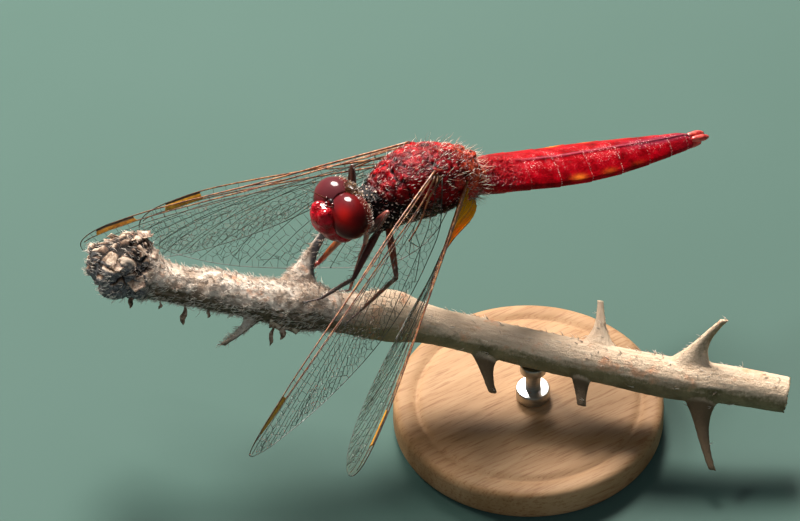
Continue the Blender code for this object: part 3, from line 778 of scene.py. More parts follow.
for sign in (-1, 1):
    for name, (x, y, z), half_sizes, segments, rings in SIDE_EGGS:
        parts.append(ball(name, from_head(x, sign * y, z), half_sizes, 0, segments, rings))
for name, place, half_sizes, tilt, segments, rings in MIDDLE_EGGS:
    parts.append(ball(name, from_head(*place), half_sizes, tilt, segments, rings))
head = join("head_skin", parts)
one_skin(head, 0.055, 40)
places = points_of(head.data)
x, y, z = ((places - world(HEAD)) / MM).T
fold = 0.4 * near(z, -1.42 + 0.1 * y ** 2, 0.06) * (x < -0.6)
fold = fold + 0.45 * near(y, 0.0, 0.12) * (z > 0.35) * (x < -1.7)
sunk = 0.07 * fold - 0.012 * bumps(places, 0.25, 2)
put_points(head.data, places - normals_of(head.data) * sunk[:, None] * MM)
mark(head.data, fold=fold, top=fade_in(x + 1.75, 0.3) * (z > 0.6) * fade_in(0.0 - x, 0.3),
     nape=near(y, 0.0, 1.0) * fade_in(z - 1.0, 0.5) * (x > -0.1),
     rear=fade_in(x - 0.2, 0.5), low=fade_in(-1.1 - z, 1.2))
unwrap(head)
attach(head, "root")
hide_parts("face_frons", "face_clypeus", "mouth", "head_capsule")
print("head skin:", len(head.data.polygons), "faces")

# %% [markdown]
# ### Its finish: cherry red enamel-like cuticle
# The face is the glossiest part of the shell, finely pitted. Its red is clean and strong in front,
# darker below, black in the groove before the eyes, and dark orange-red on the rim behind them. A
# single red would look like painted plastic, so each of these is laid over it where it belongs.

# %% Face finish
cherry_cuticle, tree, shader, spread = new_finish("cherry_cuticle", Roughness=0.4, IOR=1.56, Coat_Weight=0.6,
                                                  Coat_Roughness=0.09, Specular_IOR_Level=0.05)
cloud = add(tree, "TexNoise", {"Vector": spread, "Scale": per(0.7), "Detail": 4.0})
colour = add(tree, "ValToRGB", {"Fac": cloud}, [(0.34, "#78000A"), (0.5, "#A40014"), (0.66, "#C80C2A")])
for share, over in (("low", "#740006"), ("rear", "#661004"), ("top", "#14060A"), ("nape", "#3E2410"),
                    ("fold", "#4A0208")):
    colour = add(tree, "Mix", {"Factor": share, "A": colour, "B": over}, data_type="RGBA")
pores = add(tree, "TexVoronoi", {"Vector": spread, "Scale": per(0.14)})
pits = add(tree, "Bump", {"Height": pores, "Distance": 0.0001, "Strength": 0.8})
dents = add(tree, "Bump", {"Height": cloud, "Distance": 0.0001, "Strength": 0.5, "Normal": pits})
shallow = add(tree, "Bump", {"Height": pores, "Distance": 0.00003, "Strength": 0.4})
wire(shader, Base_Color=colour, Normal=dents, Coat_Normal=shallow)
head.data.materials.append(cherry_cuticle)

# %% [markdown]
# ## The eyes
# Each compound eye is a dome of many thousand tiny lenses, only a few hundredths of a millimetre
# across. From a hand's width away they merge into a lacquer-like gloss over a deep colour: a
# mauve-brown cap on top, darker red below it, which is painted shade, and dark wine underneath.
# A painted highlight of bright red lies towards the front, strong on the near eye and faint on
# the far one, and a painted sheen dulls the far eye's cap to mauve. The dome is a sphere pressed
# to size, cut flat along the middle of the head and closed again, and its colours follow the way
# that each spot of it faces.

# %% Eye finish
eye_lacquer, tree, shader, spread = new_finish("lens_lacquer", Roughness=0.45, IOR=1.5, Coat_Weight=0.4,
                                               Coat_Roughness=0.012, Coat_IOR=1.45, Specular_IOR_Level=0.02)
# the colour follows which way each spot faces; the darkening below the cap is painted shade
colour = add(tree, "ValToRGB", {"Fac": "depth"},
             [(0.3, "#3E0002"), (0.5, "#340103"), (0.68, "#540406"), (0.84, "#620A0E"), (0.96, "#561A20")])
# painted light: a bright red highlight towards the front, and a mauve sheen over the far eye's cap
for share, over in (("glow", "#C81C14"), ("belly", "#6A0608"), ("dusky", "#54282E")):
    colour = add(tree, "Mix", {"Factor": share, "A": colour, "B": over}, data_type="RGBA")
# real lenses are 0.03 mm across; they are drawn three times as coarse so that they show at all
lenses = add(tree, "TexVoronoi", {"Vector": spread, "Scale": per(0.09)})
facets = add(tree, "Bump", {"Height": lenses, "Distance": 0.00001, "Strength": 0.25}, invert=True)
wire(shader, Base_Color=colour, Normal=facets)

# %% Eyes
EYE_SIZE, EYE_SIDE, FLAT_SIDE = np.array((1.8, 2.15, 2.1)), 1.12, 0.06
for name, sign in (("left", -1), ("right", 1)):
    eye = ball(f"eye_lens_{name}", from_head(0, sign * EYE_SIDE, 0) + EYE_AHEAD, EYE_SIZE, 0, 128, 80)
    cut_at = world(from_head(0, sign * FLAT_SIDE, 0))
    edit(lambda: bpy.ops.mesh.bisect(plane_co=cut_at, plane_no=(0, sign, 0), use_fill=True, clear_inner=True))
    x, y, z = normals_of(eye.data).T
    outward = y * sign
    # the near left eye gets a strong painted highlight; the far right eye gets a faint one and the painted
    # sheen
    highlight_strength, sheen_strength = (0.12, 0.75) if name == "right" else (0.7, 0.0)
    mark(eye.data, depth=0.5 + 0.5 * (-0.42 * x - 0.12 * outward + 0.9 * z),
         dusky=sheen_strength * fade_in(z + 0.2, 0.8), belly=fade_in(-0.35 - z, 0.4),
         glow=highlight_strength * near(x, -0.64, 0.4) * near(outward, 0.46, 0.38) * near(z, 0.6, 0.36))
    eye.data.materials.append(eye_lacquer)
    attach(eye, "root")
    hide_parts(f"eye_{name}")
    print(eye.name, len(eye.data.polygons), "faces")

# %% [markdown]
# ### The simple eyes
# Three glassy beads sit in a triangle between the big eyes and only sense light. They are too
# small to have solids of their own, so three little balls are joined and given a clear gloss.

# %% Simple eyes
BEAD_PLACES = ((-1.78, 0.0, 1.42), (-1.45, -0.5, 1.5), (-1.45, 0.5, 1.5))
beads = [ball("bead", from_head(*place), (0.13, 0.13, 0.13), 0, 20, 12) for place in BEAD_PLACES]
ocelli = join("simple_eyes", beads)
bead_lacquer, tree, shader, spread = new_finish("bead_lacquer", Roughness=0.15, Coat_Weight=1.0)
swirl = add(tree, "TexNoise", {"Vector": spread, "Scale": per(0.1)})
glassy = add(tree, "ValToRGB", {"Fac": swirl}, [(0.3, "#1E0808"), (0.7, "#6A2A20")])
wire(shader, Base_Color=glassy)
ocelli.data.materials.append(bead_lacquer)
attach(ocelli, "root")
print("simple eyes:", len(beads))

# %% [markdown]
# ## The feelers
# A dragonfly's feelers are only bristles on two short stalks. A rod of one thickness would look
# like wire, so each is a spindle that tapers to its real fineness, along the solid at the front
# of the head that shows its place.

# %% Feelers
for name in ("left", "right"):
    ends = limb_ends(f"antenna_{name}")
    foot, tip = sorted(ends, key=lambda end: np.linalg.norm(end - world(HEAD)))
    reach, lift = tip - foot, np.array((0, 0, 0.06)) * MM
    route = (foot - reach * 0.25, foot + reach * 0.15, foot + reach * 0.5 + lift, tip)
    feeler = spindle(f"feeler_{name}", route, (0.1, 0.06, 0.025, 0.012), around=10, along=24)
    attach(feeler, "root")
    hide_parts(f"antenna_{name}")
    print(feeler.name, "is", round(np.linalg.norm(reach) / MM, 2), "mm long")

# %% [markdown]
# ## The wings
# A wing is a clear film, thinner than cling film, stretched on a frame of veins. A few strong
# veins run lengthwise; small cross-veins part the strips between them into cells, in one row
# where a strip is narrow and in several staggered rows where it is wide. Drawing every cell by
# hand would take days, so only the main veins are drawn. Between each pair, points are set out
# in rows and each point gets the area that is nearest to it, which gives the same honeycomb
# that grows in the real wing.

# %% The blades
FORE_WING = dict(length=31.0, root=(-1.9, 2.1, 1.45),
                 outline=((0.0, 0.0, 0.03), (0.1, -0.004, 0.125), (0.2, -0.007, 0.168), (0.48, 0.0, 0.235),
                          (0.6, 0.001, 0.238), (0.8, 0.012, 0.215), (0.9, 0.028, 0.185)))
HIND_WING = dict(length=29.3, root=(1.5, 2.07, -1.56),
                 outline=((0.0, 0.0, 0.17), (0.1, -0.004, 0.32), (0.2, -0.006, 0.345), (0.3, -0.005, 0.342),
                          (0.48, 0.0, 0.31), (0.6, 0.003, 0.287), (0.8, 0.015, 0.232), (0.9, 0.032, 0.19)))
TIP_START, TIP_ACROSS = 0.9, 0.093
# sweep forward, droop, turn of the blade at root and tip, extra turn at its foot and the share of
# the length over which that fades, the tip's curl
WINGS = {
    "fore_left": (FORE_WING, "left", 64.0, 15.3, (57.7, 98.8, 0.0, 0.15), 0.03),
    "fore_right": (FORE_WING, "right", 61.8, 19.6, (63.0, 92.7, 0.0, 0.15), 0.07),
    "hind_left": (HIND_WING, "left", 49.7, 19.9, (100.0, 130.9, -14.0, 0.05), 0.04),
    "hind_right": (HIND_WING, "right", 49.4, 18.4, (100.6, 127.3, -42.0, 0.15), -0.02),
}


def outline(wing, along):
    """How far the front and rear edges lie behind the wing's leading line, as shares of its length."""
    lead, trail = between(wing["outline"], np.minimum(along, TIP_START))
    _, last_lead, last_trail = wing["outline"][-1]
    past = np.clip((along - TIP_START) / (1 - TIP_START), 0, 1)
    middle_line = (last_lead + last_trail) / 2 * (1 - past) + TIP_ACROSS * past
    half = (last_trail - last_lead) / 2 * np.sqrt(1 - past)
    at_tip = along > TIP_START
    return np.where(at_tip, middle_line - half, lead), np.where(at_tip, middle_line + half, trail)


def pleat(behind, along):
    """The fan-like folds that stiffen the blade, in millimetres, from the distance behind its edge."""
    folds = between(((0.0, 0.0), (0.014, -0.16), (0.028, 0.13), (0.042, -0.12), (0.06, 0.05), (0.085, -0.05),
                     (0.12, 0.04), (0.16, -0.03), (0.25, 0.0), (0.4, 0.0)), behind)[0]
    return folds * (1 - 0.55 * along)


def wing_points(hold, along, across):
    """Places on a blade, in metres, and its normals, from shares of the wing's length."""
    wing, side, sweep, droop, twist, curl = hold
    along, across = np.asarray(along, float), np.asarray(across, float)
    sweep, droop = radians(sweep), radians(droop)
    span = np.array((-sin(sweep) * cos(droop), -cos(sweep) * cos(droop), -sin(droop)))
    level = np.array((cos(sweep), -sin(sweep), 0.0))
    upward = np.cross(span, level)
    upward = upward if upward[2] > 0 else -upward
    foot_share = np.exp(-(along / twist[3]) ** 2)
    turn = np.radians(twist[0] + (twist[1] - twist[0]) * along + twist[2] * foot_share)[..., None]
    behind = level * np.cos(turn) - upward * np.sin(turn)
    facing = np.cross(span, behind)
    facing /= np.linalg.norm(facing, axis=-1, keepdims=True)
    lead, _ = outline(wing, along)
    root = np.array(wing["root"]) * (1, -1, 1)
    place = root + (span * along[..., None] + behind * across[..., None]
                    + upward * curl * along[..., None] ** 2) * wing["length"]
    place = place + facing * pleat(across - lead, along)[..., None]
    if side == "right":
        place, facing = place * (1, -1, 1), facing * (1, -1, 1)
    return world(place), facing

# %% Wing films
FILM_THICKNESS = 0.03      # really a few thousandths of a millimetre; drawn thicker so it has two sides
films = {}
for name, hold in WINGS.items():
    def film_surface(u, v, hold=hold):
        along = 1 - (1 - v) ** 1.6
        lead, trail = outline(hold[0], along)
        return wing_points(hold, along, lead + (trail - lead) * u)[0]

    film = wrap(f"wing_film_{name}", 90, 150, film_surface, ends=False)
    apply(film, "SOLIDIFY", thickness=FILM_THICKNESS * MM, offset=0.0)
    plane = film.data.uv_layers.active
    plane.name = "WingPlane"
    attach(film, "root")
    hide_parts(f"wing_{name}")
    films[name] = film

# %% [markdown]
# ### The veins
# Every vein is a short list of places: how far out along the wing, and how far behind its front
# edge, both as shares of the wing's length. Two neighbours and the size of cell between them make
# a strip.

# %% Main veins
FORE_VEINS = {
    "edge": ((0.0, 0.0), (1.0, 0.0)),
    "second": ((0.02, 0.008), (0.1, 0.013), (0.25, 0.014), (0.4, 0.010), (0.475, 0.001)),
    "radius": ((0.0, 0.014), (0.1, 0.027), (0.25, 0.028), (0.475, 0.026), (0.6, 0.026), (0.8, 0.025),
               (0.925, 0.021), (0.985, 0.010)),
    "third": ((0.115, 0.038), (0.2, 0.046), (0.3, 0.045), (0.475, 0.040), (0.6, 0.040), (0.8, 0.041),
              (0.9, 0.044), (0.985, 0.046)),
    "third_branch": ((0.475, 0.040), (0.55, 0.052), (0.7, 0.078), (0.8, 0.098), (0.92, 0.134)),
    "between_thirds": ((0.70, 0.058), (0.8, 0.068), (0.9, 0.085), (0.955, 0.098)),
    "fourth": ((0.38, 0.043), (0.5, 0.061), (0.65, 0.096), (0.8, 0.143), (0.87, 0.171)),
    "brace": ((0.56, 0.098), (0.65, 0.122), (0.75, 0.16), (0.8, 0.19)),
    "fifth": ((0.28, 0.046), (0.4, 0.070), (0.5, 0.098), (0.6, 0.137), (0.7, 0.188), (0.74, 0.213)),
    "sixth": ((0.115, 0.048), (0.2, 0.062), (0.3, 0.071), (0.4, 0.09), (0.5, 0.122), (0.6, 0.174),
              (0.665, 0.226)),
    "stem": ((0.0, 0.018), (0.115, 0.056), (0.17, 0.070), (0.205, 0.074)),
    "triangle_back": ((0.17, 0.070), (0.19, 0.122)),
    "triangle_out": ((0.19, 0.122), (0.205, 0.074)),
    "seventh": ((0.19, 0.122), (0.28, 0.157), (0.36, 0.186), (0.44, 0.222)),
    "eighth": ((0.19, 0.122), (0.23, 0.160), (0.265, 0.188)),
    "rear": ((0.0, 0.022), (0.07, 0.062), (0.13, 0.1), (0.19, 0.122)),
    "bridge": ((0.112, 0.030), (0.117, 0.056)),
}
HIND_VEINS = {
    "edge": ((0.0, 0.0), (1.0, 0.0)),
    "second": ((0.02, 0.010), (0.1, 0.014), (0.25, 0.013), (0.35, 0.008), (0.41, 0.001)),
    "radius": ((0.0, 0.016), (0.1, 0.028), (0.25, 0.028), (0.41, 0.026), (0.6, 0.026), (0.785, 0.025),
               (0.905, 0.022), (0.985, 0.010)),
    "third": ((0.095, 0.040), (0.2, 0.047), (0.3, 0.045), (0.41, 0.041), (0.6, 0.041), (0.8, 0.043),
              (0.9, 0.046), (0.985, 0.046)),
    "third_branch": ((0.41, 0.041), (0.5, 0.057), (0.65, 0.088), (0.8, 0.124), (0.895, 0.157)),
    "between_thirds": ((0.64, 0.060), (0.8, 0.077), (0.9, 0.095), (0.945, 0.104)),
    "fourth": ((0.33, 0.044), (0.45, 0.068), (0.6, 0.112), (0.75, 0.168), (0.83, 0.197)),
    "brace": ((0.5, 0.105), (0.6, 0.14), (0.68, 0.185), (0.72, 0.22)),
    "fifth": ((0.24, 0.046), (0.35, 0.074), (0.48, 0.124), (0.6, 0.19), (0.69, 0.248)),
    "sixth": ((0.095, 0.050), (0.2, 0.070), (0.3, 0.089), (0.4, 0.126), (0.5, 0.178), (0.6, 0.242),
              (0.64, 0.267)),
    "stem": ((0.0, 0.022), (0.06, 0.045), (0.1, 0.062), (0.15, 0.073)),
    "triangle_back": ((0.1, 0.062), (0.125, 0.105)),
    "triangle_out": ((0.125, 0.105), (0.15, 0.073)),
    "seventh": ((0.125, 0.105), (0.2, 0.137), (0.3, 0.192), (0.38, 0.256), (0.44, 0.318)),
    "eighth": ((0.125, 0.105), (0.17, 0.158), (0.23, 0.232), (0.3, 0.345)),
    "loop_front": ((0.0, 0.035), (0.06, 0.085), (0.125, 0.105)),
    "loop_mid": ((0.01, 0.06), (0.06, 0.13), (0.12, 0.21), (0.19, 0.3), (0.21, 0.35)),
    "loop_back": ((0.0, 0.09), (0.04, 0.17), (0.09, 0.27), (0.12, 0.326)),
    "bridge": ((0.093, 0.030), (0.098, 0.060)),
}

# %% Strips between veins
# a strip: front vein from and to, rear vein from and to, cell length and width in millimetres
FORE_STRIPS = (
    ("edge", 0.03, 0.475, "second", 0.03, 0.475, 1.35, 3),
    ("second", 0.03, 0.475, "radius", 0.03, 0.475, 1.35, 3),
    ("edge", 0.475, 0.805, "radius", 0.475, 0.805, 1.25, 3),
    ("edge", 0.925, 0.985, "radius", 0.925, 0.985, 0.5, 3),
    ("radius", 0.13, 0.985, "third", 0.13, 0.985, 1.1, 3),
    ("third", 0.13, 0.28, "sixth", 0.13, 0.28, 1.2, 3), ("radius", 0.01, 0.115, "stem", 0.01, 0.115, 1.2, 3),
    ("stem", 0.115, 0.2, "sixth", 0.115, 0.2, 0.9, 3),
    ("third", 0.475, 0.985, "third_branch", 0.475, 0.92, 0.8, 0.72),
    ("third", 0.38, 0.475, "fourth", 0.38, 0.475, 1.0, 3),
    ("third_branch", 0.475, 0.92, "fourth", 0.475, 0.87, 0.85, 0.95),
    ("fourth", 0.38, 0.87, "fifth", 0.34, 0.74, 0.8, 0.8),
    ("third", 0.28, 0.38, "fifth", 0.28, 0.36, 0.9, 3),
    ("fifth", 0.28, 0.74, "sixth", 0.28, 0.665, 0.8, 0.85),
    ("sixth", 0.205, 0.665, "seventh", 0.19, 0.44, 0.8, 0.8),
    ("sixth", 0.45, 0.665, "trail", 0.44, 0.665, 0.75, 0.75),
    ("fifth", 0.6, 0.74, "trail", 0.665, 0.74, 0.75, 0.75),
    ("fourth", 0.7, 0.87, "trail", 0.74, 0.87, 0.75, 0.75),
    ("third_branch", 0.86, 0.92, "trail", 0.87, 0.93, 0.7, 0.7),
    ("third", 0.93, 0.985, "trail", 0.93, 0.985, 0.6, 0.6),
    ("seventh", 0.19, 0.44, "eighth", 0.19, 0.265, 0.8, 0.75),
    ("rear", 0.02, 0.19, "trail", 0.02, 0.265, 0.85, 0.85), ("stem", 0.02, 0.17, "rear", 0.02, 0.19, 1.3, 3),
    ("seventh", 0.3, 0.44, "trail", 0.265, 0.44, 0.8, 0.75),
)
HIND_STRIPS = (
    ("edge", 0.03, 0.41, "second", 0.03, 0.41, 1.4, 3), ("second", 0.03, 0.41, "radius", 0.03, 0.41, 1.4, 3),
    ("edge", 0.41, 0.785, "radius", 0.41, 0.785, 1.25, 3),
    ("edge", 0.905, 0.985, "radius", 0.905, 0.985, 0.5, 3),
    ("radius", 0.11, 0.985, "third", 0.11, 0.985, 1.1, 3),
    ("third", 0.11, 0.24, "sixth", 0.11, 0.24, 1.2, 3), ("radius", 0.01, 0.095, "stem", 0.01, 0.095, 1.2, 3),
    ("third", 0.41, 0.985, "third_branch", 0.41, 0.895, 0.8, 0.75),
    ("third", 0.33, 0.41, "fourth", 0.33, 0.41, 1.0, 3),
    ("third_branch", 0.41, 0.895, "fourth", 0.41, 0.83, 0.85, 0.95),
    ("fourth", 0.33, 0.83, "fifth", 0.29, 0.69, 0.8, 0.8),
    ("third", 0.24, 0.33, "fifth", 0.24, 0.31, 0.9, 3),
    ("fifth", 0.24, 0.69, "sixth", 0.24, 0.64, 0.8, 0.85),
    ("sixth", 0.15, 0.64, "seventh", 0.125, 0.44, 0.8, 0.85),
    ("sixth", 0.44, 0.64, "trail", 0.44, 0.64, 0.75, 0.8),
    ("fifth", 0.6, 0.69, "trail", 0.64, 0.69, 0.75, 0.75),
    ("fourth", 0.66, 0.83, "trail", 0.69, 0.83, 0.75, 0.75),
    ("third_branch", 0.82, 0.895, "trail", 0.83, 0.9, 0.7, 0.7),
    ("third", 0.9, 0.985, "trail", 0.9, 0.985, 0.6, 0.6),
    ("seventh", 0.125, 0.44, "eighth", 0.125, 0.3, 0.85, 0.85),
    ("seventh", 0.36, 0.44, "trail", 0.3, 0.44, 0.8, 0.8),
    ("eighth", 0.125, 0.3, "loop_mid", 0.05, 0.21, 0.85, 0.9),
    ("loop_front", 0.02, 0.125, "loop_mid", 0.03, 0.1, 0.9, 0.9),
    ("loop_mid", 0.01, 0.21, "loop_back", 0.0, 0.12, 0.9, 0.9),
    ("loop_back", 0.0, 0.12, "trail", 0.0, 0.12, 0.9, 0.9),
    ("stem", 0.01, 0.1, "loop_front", 0.01, 0.1, 1.2, 3),
)

# %% The walls between cells
def vein_places(wing, veins, name, along):
    """How far behind the wing's front edge a vein runs, and the same behind its leading line."""
    lead, trail = outline(wing, along)
    behind = trail - lead if name == "trail" else between(veins[name], along)[0]
    return np.stack([along, lead + np.minimum(behind, trail - lead)], axis=-1)


def cells(wing, veins, strip, chance):
    """The walls between the cells of one strip, as pairs of (along, across)."""
    front, front_from, front_to, rear, rear_from, rear_to, cell_length, cell_width = strip
    fine = np.linspace(0, 1, 160)
    one = vein_places(wing, veins, front, front_from + (front_to - front_from) * fine) * wing["length"]
    other = vein_places(wing, veins, rear, rear_from + (rear_to - rear_from) * fine) * wing["length"]
    centre = (one + other) / 2
    run = np.concatenate([[0], np.cumsum(np.linalg.norm(np.diff(centre, axis=0), axis=1))])
    columns = max(2, round(run[-1] / cell_length))
    seeds, ghosts = [], []
    for i in range(columns):
        wide = np.interp((i + 0.5) / columns * run[-1], run, np.linalg.norm(other - one, axis=1))
        rows = max(1, round(wide / cell_width))
        for j in range(rows):
            at = (i + 0.5 + (0.25 if j % 2 else -0.25) * (rows > 1)) / columns
            at = at + (chance.uniform(-0.1, 0.1) if rows > 1 else 0.0) / columns
            across = (j + 0.5 + (chance.uniform(-0.12, 0.12) if rows > 1 else 0.0)) / rows
            here = np.clip(at, 0, 1) * run[-1]
            a = np.array([np.interp(here, run, one[:, k]) for k in (0, 1)])
            b = np.array([np.interp(here, run, other[:, k]) for k in (0, 1)])
            seeds.append(a + (b - a) * across)
            ghosts += [a - (b - a) * across] if j == 0 else []
            ghosts += [b + (b - a) * (1 - across)] if j == rows - 1 else []
    sites = [Vector(p) for p in seeds + ghosts]
    points, _, triangles, origin, _, _ = delaunay_2d_cdt(sites, [], [], 0, 1e-6)
    real = [min(o) < len(seeds) if o else False for o in origin]
    centres, beside = [], {}
    for number, triangle in enumerate(triangles):
        p, q, r = (np.array(points[k]) for k in triangle)
        double = 2 * np.cross(q - p, r - p)
        q2, r2 = (q - p).dot(q - p), (r - p).dot(r - p)
        centres.append(p + np.array(((r - p)[1] * q2 - (q - p)[1] * r2, (q - p)[0] * r2 - (r - p)[0] * q2))
                       / (double if abs(double) > 1e-9 else 1e-9))
        for k in range(3):
            beside.setdefault(frozenset((triangle[k], triangle[k - 1])), []).append(number)
    walls = []
    for pair, numbers in beside.items():
        if len(numbers) == 2 and all(real[k] for k in pair):
            ends = [centres[k] for k in numbers]
            if 0.08 < np.linalg.norm(ends[0] - ends[1]) < 2.2:
                walls.append([end / wing["length"] for end in ends])
    return walls

# %% Vein pieces
# radii in millimetres at the foot and the tip, and how orange it is; the rest are thin and dark
STRONG_VEINS = {"edge": (0.11, 0.045, 0.9), "second": (0.06, 0.04, 0.8), "radius": (0.09, 0.04, 0.85),
                "third": (0.05, 0.028, 0.3), "stem": (0.08, 0.05, 0.6), "bridge": (0.05, 0.04, 0.0),
                "trail": (0.045, 0.03, 0.0)}
PLAIN_VEIN = (0.038, 0.022, 0.0)
CELL_WALL, STOUT_WALL = 0.018, 1.5
NODUS = {"fore": 0.475, "hind": 0.41}          # where the second vein ends and the front edge kinks
CELL_SEEDS = {"fore": 7, "hind": 11}
OFF_THE_EDGE = 0.004
vein_pieces = {}
for name, hold in WINGS.items():
    wing, pair = hold[0], name[:4]
    veins, strips = (FORE_VEINS, FORE_STRIPS) if pair == "fore" else (HIND_VEINS, HIND_STRIPS)
    chance = np.random.default_rng(CELL_SEEDS[pair])
    lines = []
    for vein in (*veins, "trail"):
        first, last = (0.0, 1.0) if vein == "trail" else (veins[vein][0][0], veins[vein][-1][0])
        along = np.linspace(first, last, 4 if last - first < 0.06 else 60)
        along = 1 - (1 - along) ** 2 if last == 1.0 else along
        flat = vein_places(wing, veins, vein, along)
        route, _ = wing_points(hold, flat[:, 0], flat[:, 1])
        thick, thin, orange = STRONG_VEINS.get(vein, PLAIN_VEIN)
        tone = orange * np.clip((0.97 - along) / 0.4, 0.15, 1.0)
        lines.append(dict(route=route, radii=(thick + (thin - thick) * along) * MM, tone=tone))
    for strip in strips:
        leading = strip[0] in ("edge", "second") and strip[2] <= NODUS[pair]
        for start, end in cells(wing, veins, strip, chance):
            flat = np.array([start, (np.array(start) + end) / 2, end])
            lead, trail = outline(wing, flat[:, 0])
            too_far = (flat[:, 1] < lead - OFF_THE_EDGE) | (flat[:, 1] > trail + OFF_THE_EDGE)
            if (too_far | (flat[:, 0] > 0.999)).any():
                continue
            route, _ = wing_points(hold, flat[:, 0], flat[:, 1])
            radius = CELL_WALL * (STOUT_WALL if leading else 1.0)
            lines.append(dict(route=route, radii=np.full(3, radius) * MM, tone=0.8 if leading else 0.0))
    vein_piece = strands(f"wing_veins_{name}", lines, sides=5)
    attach(vein_piece, "root")
    vein_pieces[name] = vein_piece
    print(f"{vein_piece.name}: {len(lines)} veins and cell walls, {len(vein_piece.data.polygons)} faces")

# %% [markdown]
# ### The finish of film and veins
# The film is bare chitin: clear, slightly smoky, and yellow-brown only at the hind wing's foot,
# where the cells are stained amber. Its thinness bends light into faint oil-film colours. The
# veins are tubes of thicker chitin, orange along the leading edge and green-black elsewhere.

# %% Film finish
def wing_film_finish(name, stained_to, stain_cover, rainbow_film=320.0, gloss=0.3):
    """Clear wing film. The stain reaches this share of the blade from its foot."""
    made, tree, shader, spread = new_finish(
        name, Roughness=0.16, IOR=1.56, Coat_Weight=gloss / 3, Coat_Roughness=0.08, Specular_IOR_Level=gloss,
        Thin_Film_Thickness=rainbow_film, Thin_Film_IOR=1.4, Subsurface_Weight=0.35, Subsurface_Scale=0.0006)
    made.blend_method = "BLEND"
    plane = add(tree, "UVMap", uv_map="WingPlane")
    apart = add(tree, "SeparateXYZ", {"Vector": plane})
    streaks = add(tree, "Mapping", {"Vector": plane, "Scale": (60.0, 9.0, 1.0)})
    streak = add(tree, "TexNoise", {"Vector": streaks, "Scale": 1.0, "Detail": 3.0})
    cloud = add(tree, "TexNoise", {"Vector": spread, "Scale": per(2.5), "Detail": 3.0})
    wobble = add(tree, "Math", {0: streak, 1: stained_to * 0.9, 2: apart.outputs["Y"]},
                 operation="MULTIPLY_ADD")
    stain = add(tree, "MapRange", {"Value": wobble, "From Min": stained_to * 1.5,
                                   "From Max": stained_to * 0.75}, interpolation_type="SMOOTHSTEP")
    amber = add(tree, "ValToRGB", {"Fac": streak}, [(0.34, "#6A3204"), (0.48, "#BC7008"), (0.62, "#F4AC1C")])
    clear = add(tree, "ValToRGB", {"Fac": cloud}, [(0.35, "#5E5A40"), (0.65, "#8A8262")])
    colour = add(tree, "Mix", {"Factor": stain, "A": clear, "B": amber}, data_type="RGBA")
    edge_on = add(tree, "LayerWeight", {"Blend": 0.35})
    clear_cover = add(tree, "MapRange", {"Value": edge_on, "From Min": 0.05, "From Max": 0.9,
                                         "To Min": 0.016, "To Max": 0.07})
    cover = add(tree, "Mix", {"Factor": stain, "A": clear_cover, "B": stain_cover}, data_type="FLOAT")
    wrinkle = add(tree, "TexVoronoi", {"Vector": spread, "Scale": per(0.8)})
    pucker = add(tree, "Bump", {"Height": wrinkle, "Distance": 0.00006, "Strength": 0.5})
    sag = add(tree, "Bump", {"Height": cloud, "Distance": 0.0005, "Strength": 0.4, "Normal": pucker})
    wire(shader, Base_Color=colour, Alpha=cover, Normal=sag)
    return made


FILMS = {"fore": wing_film_finish("fore_wing_film", 0.01, 0.2),
         # seen edge on, a glossy or rainbow amber lobe turns grey, so this one film has neither
         "hind_left": wing_film_finish("hind_left_film", 0.15, 0.92, rainbow_film=0.0, gloss=0.0),
         "hind_right": wing_film_finish("hind_right_film", 0.05, 0.5)}
for name, film in films.items():
    film.data.materials.append(FILMS["fore" if name.startswith("fore") else name])
print("film finishes:", [film.name for film in FILMS.values()])

# %% Vein finish
vein_chitin, tree, shader, spread = new_finish("vein_chitin", Roughness=0.35, IOR=1.56)
banding = add(tree, "TexNoise", {"Vector": spread, "Scale": per(0.5), "Detail": 3.0})
dark = add(tree, "ValToRGB", {"Fac": banding}, [(0.3, "#0E1410"), (0.7, "#26281C")])
orange = add(tree, "ValToRGB", {"Fac": banding},
             [(0.3, "#3E140A"), (0.48, "#84401A"), (0.62, "#B87A44"), (0.75, "#E0BC96")])
colour = add(tree, "Mix", {"Factor": "tone", "A": dark, "B": orange}, data_type="RGBA")
bump = add(tree, "Bump", {"Height": banding, "Distance": 0.00003, "Strength": 0.4})
wire(shader, Base_Color=colour, Normal=bump)
for piece in vein_pieces.values():
    piece.data.materials.append(vein_chitin)

# %% [markdown]
# ### The wing spots
# Near each tip one long cell behind the front edge is filled in, thick and ochre, with a black
# front edge. Its weight keeps the blade from fluttering. It could be painted on the film, but the
# real one stands up from it, so it is a small slab of its own that follows the same blade.

# %% Wing spots
SPOT_ALONG = {"fore": (0.82, 0.94), "hind": (0.785, 0.905)}
SPOT_SLANT, SPOT_THICKNESS = 0.006, 0.09
spot_amber, tree, shader, spread = new_finish("spot_amber", Roughness=0.4, IOR=1.56)
plane = add(tree, "UVMap", uv_map="WingPlane")
apart = add(tree, "SeparateXYZ", {"Vector": plane})
cloud = add(tree, "TexNoise", {"Vector": spread, "Scale": per(0.5), "Detail": 4.0})
ochre = add(tree, "ValToRGB", {"Fac": cloud}, [(0.3, "#9A620E"), (0.7, "#DCA028")])
front = add(tree, "MapRange", {"Value": apart.outputs["X"], "From Min": 0.2, "From Max": 0.34})
edged = add(tree, "Mix", {"Factor": front, "A": "#0C0A08", "B": ochre}, data_type="RGBA")
bump = add(tree, "Bump", {"Height": cloud, "Distance": 0.00005, "Strength": 0.4})
wire(shader, Base_Color=edged, Normal=bump)
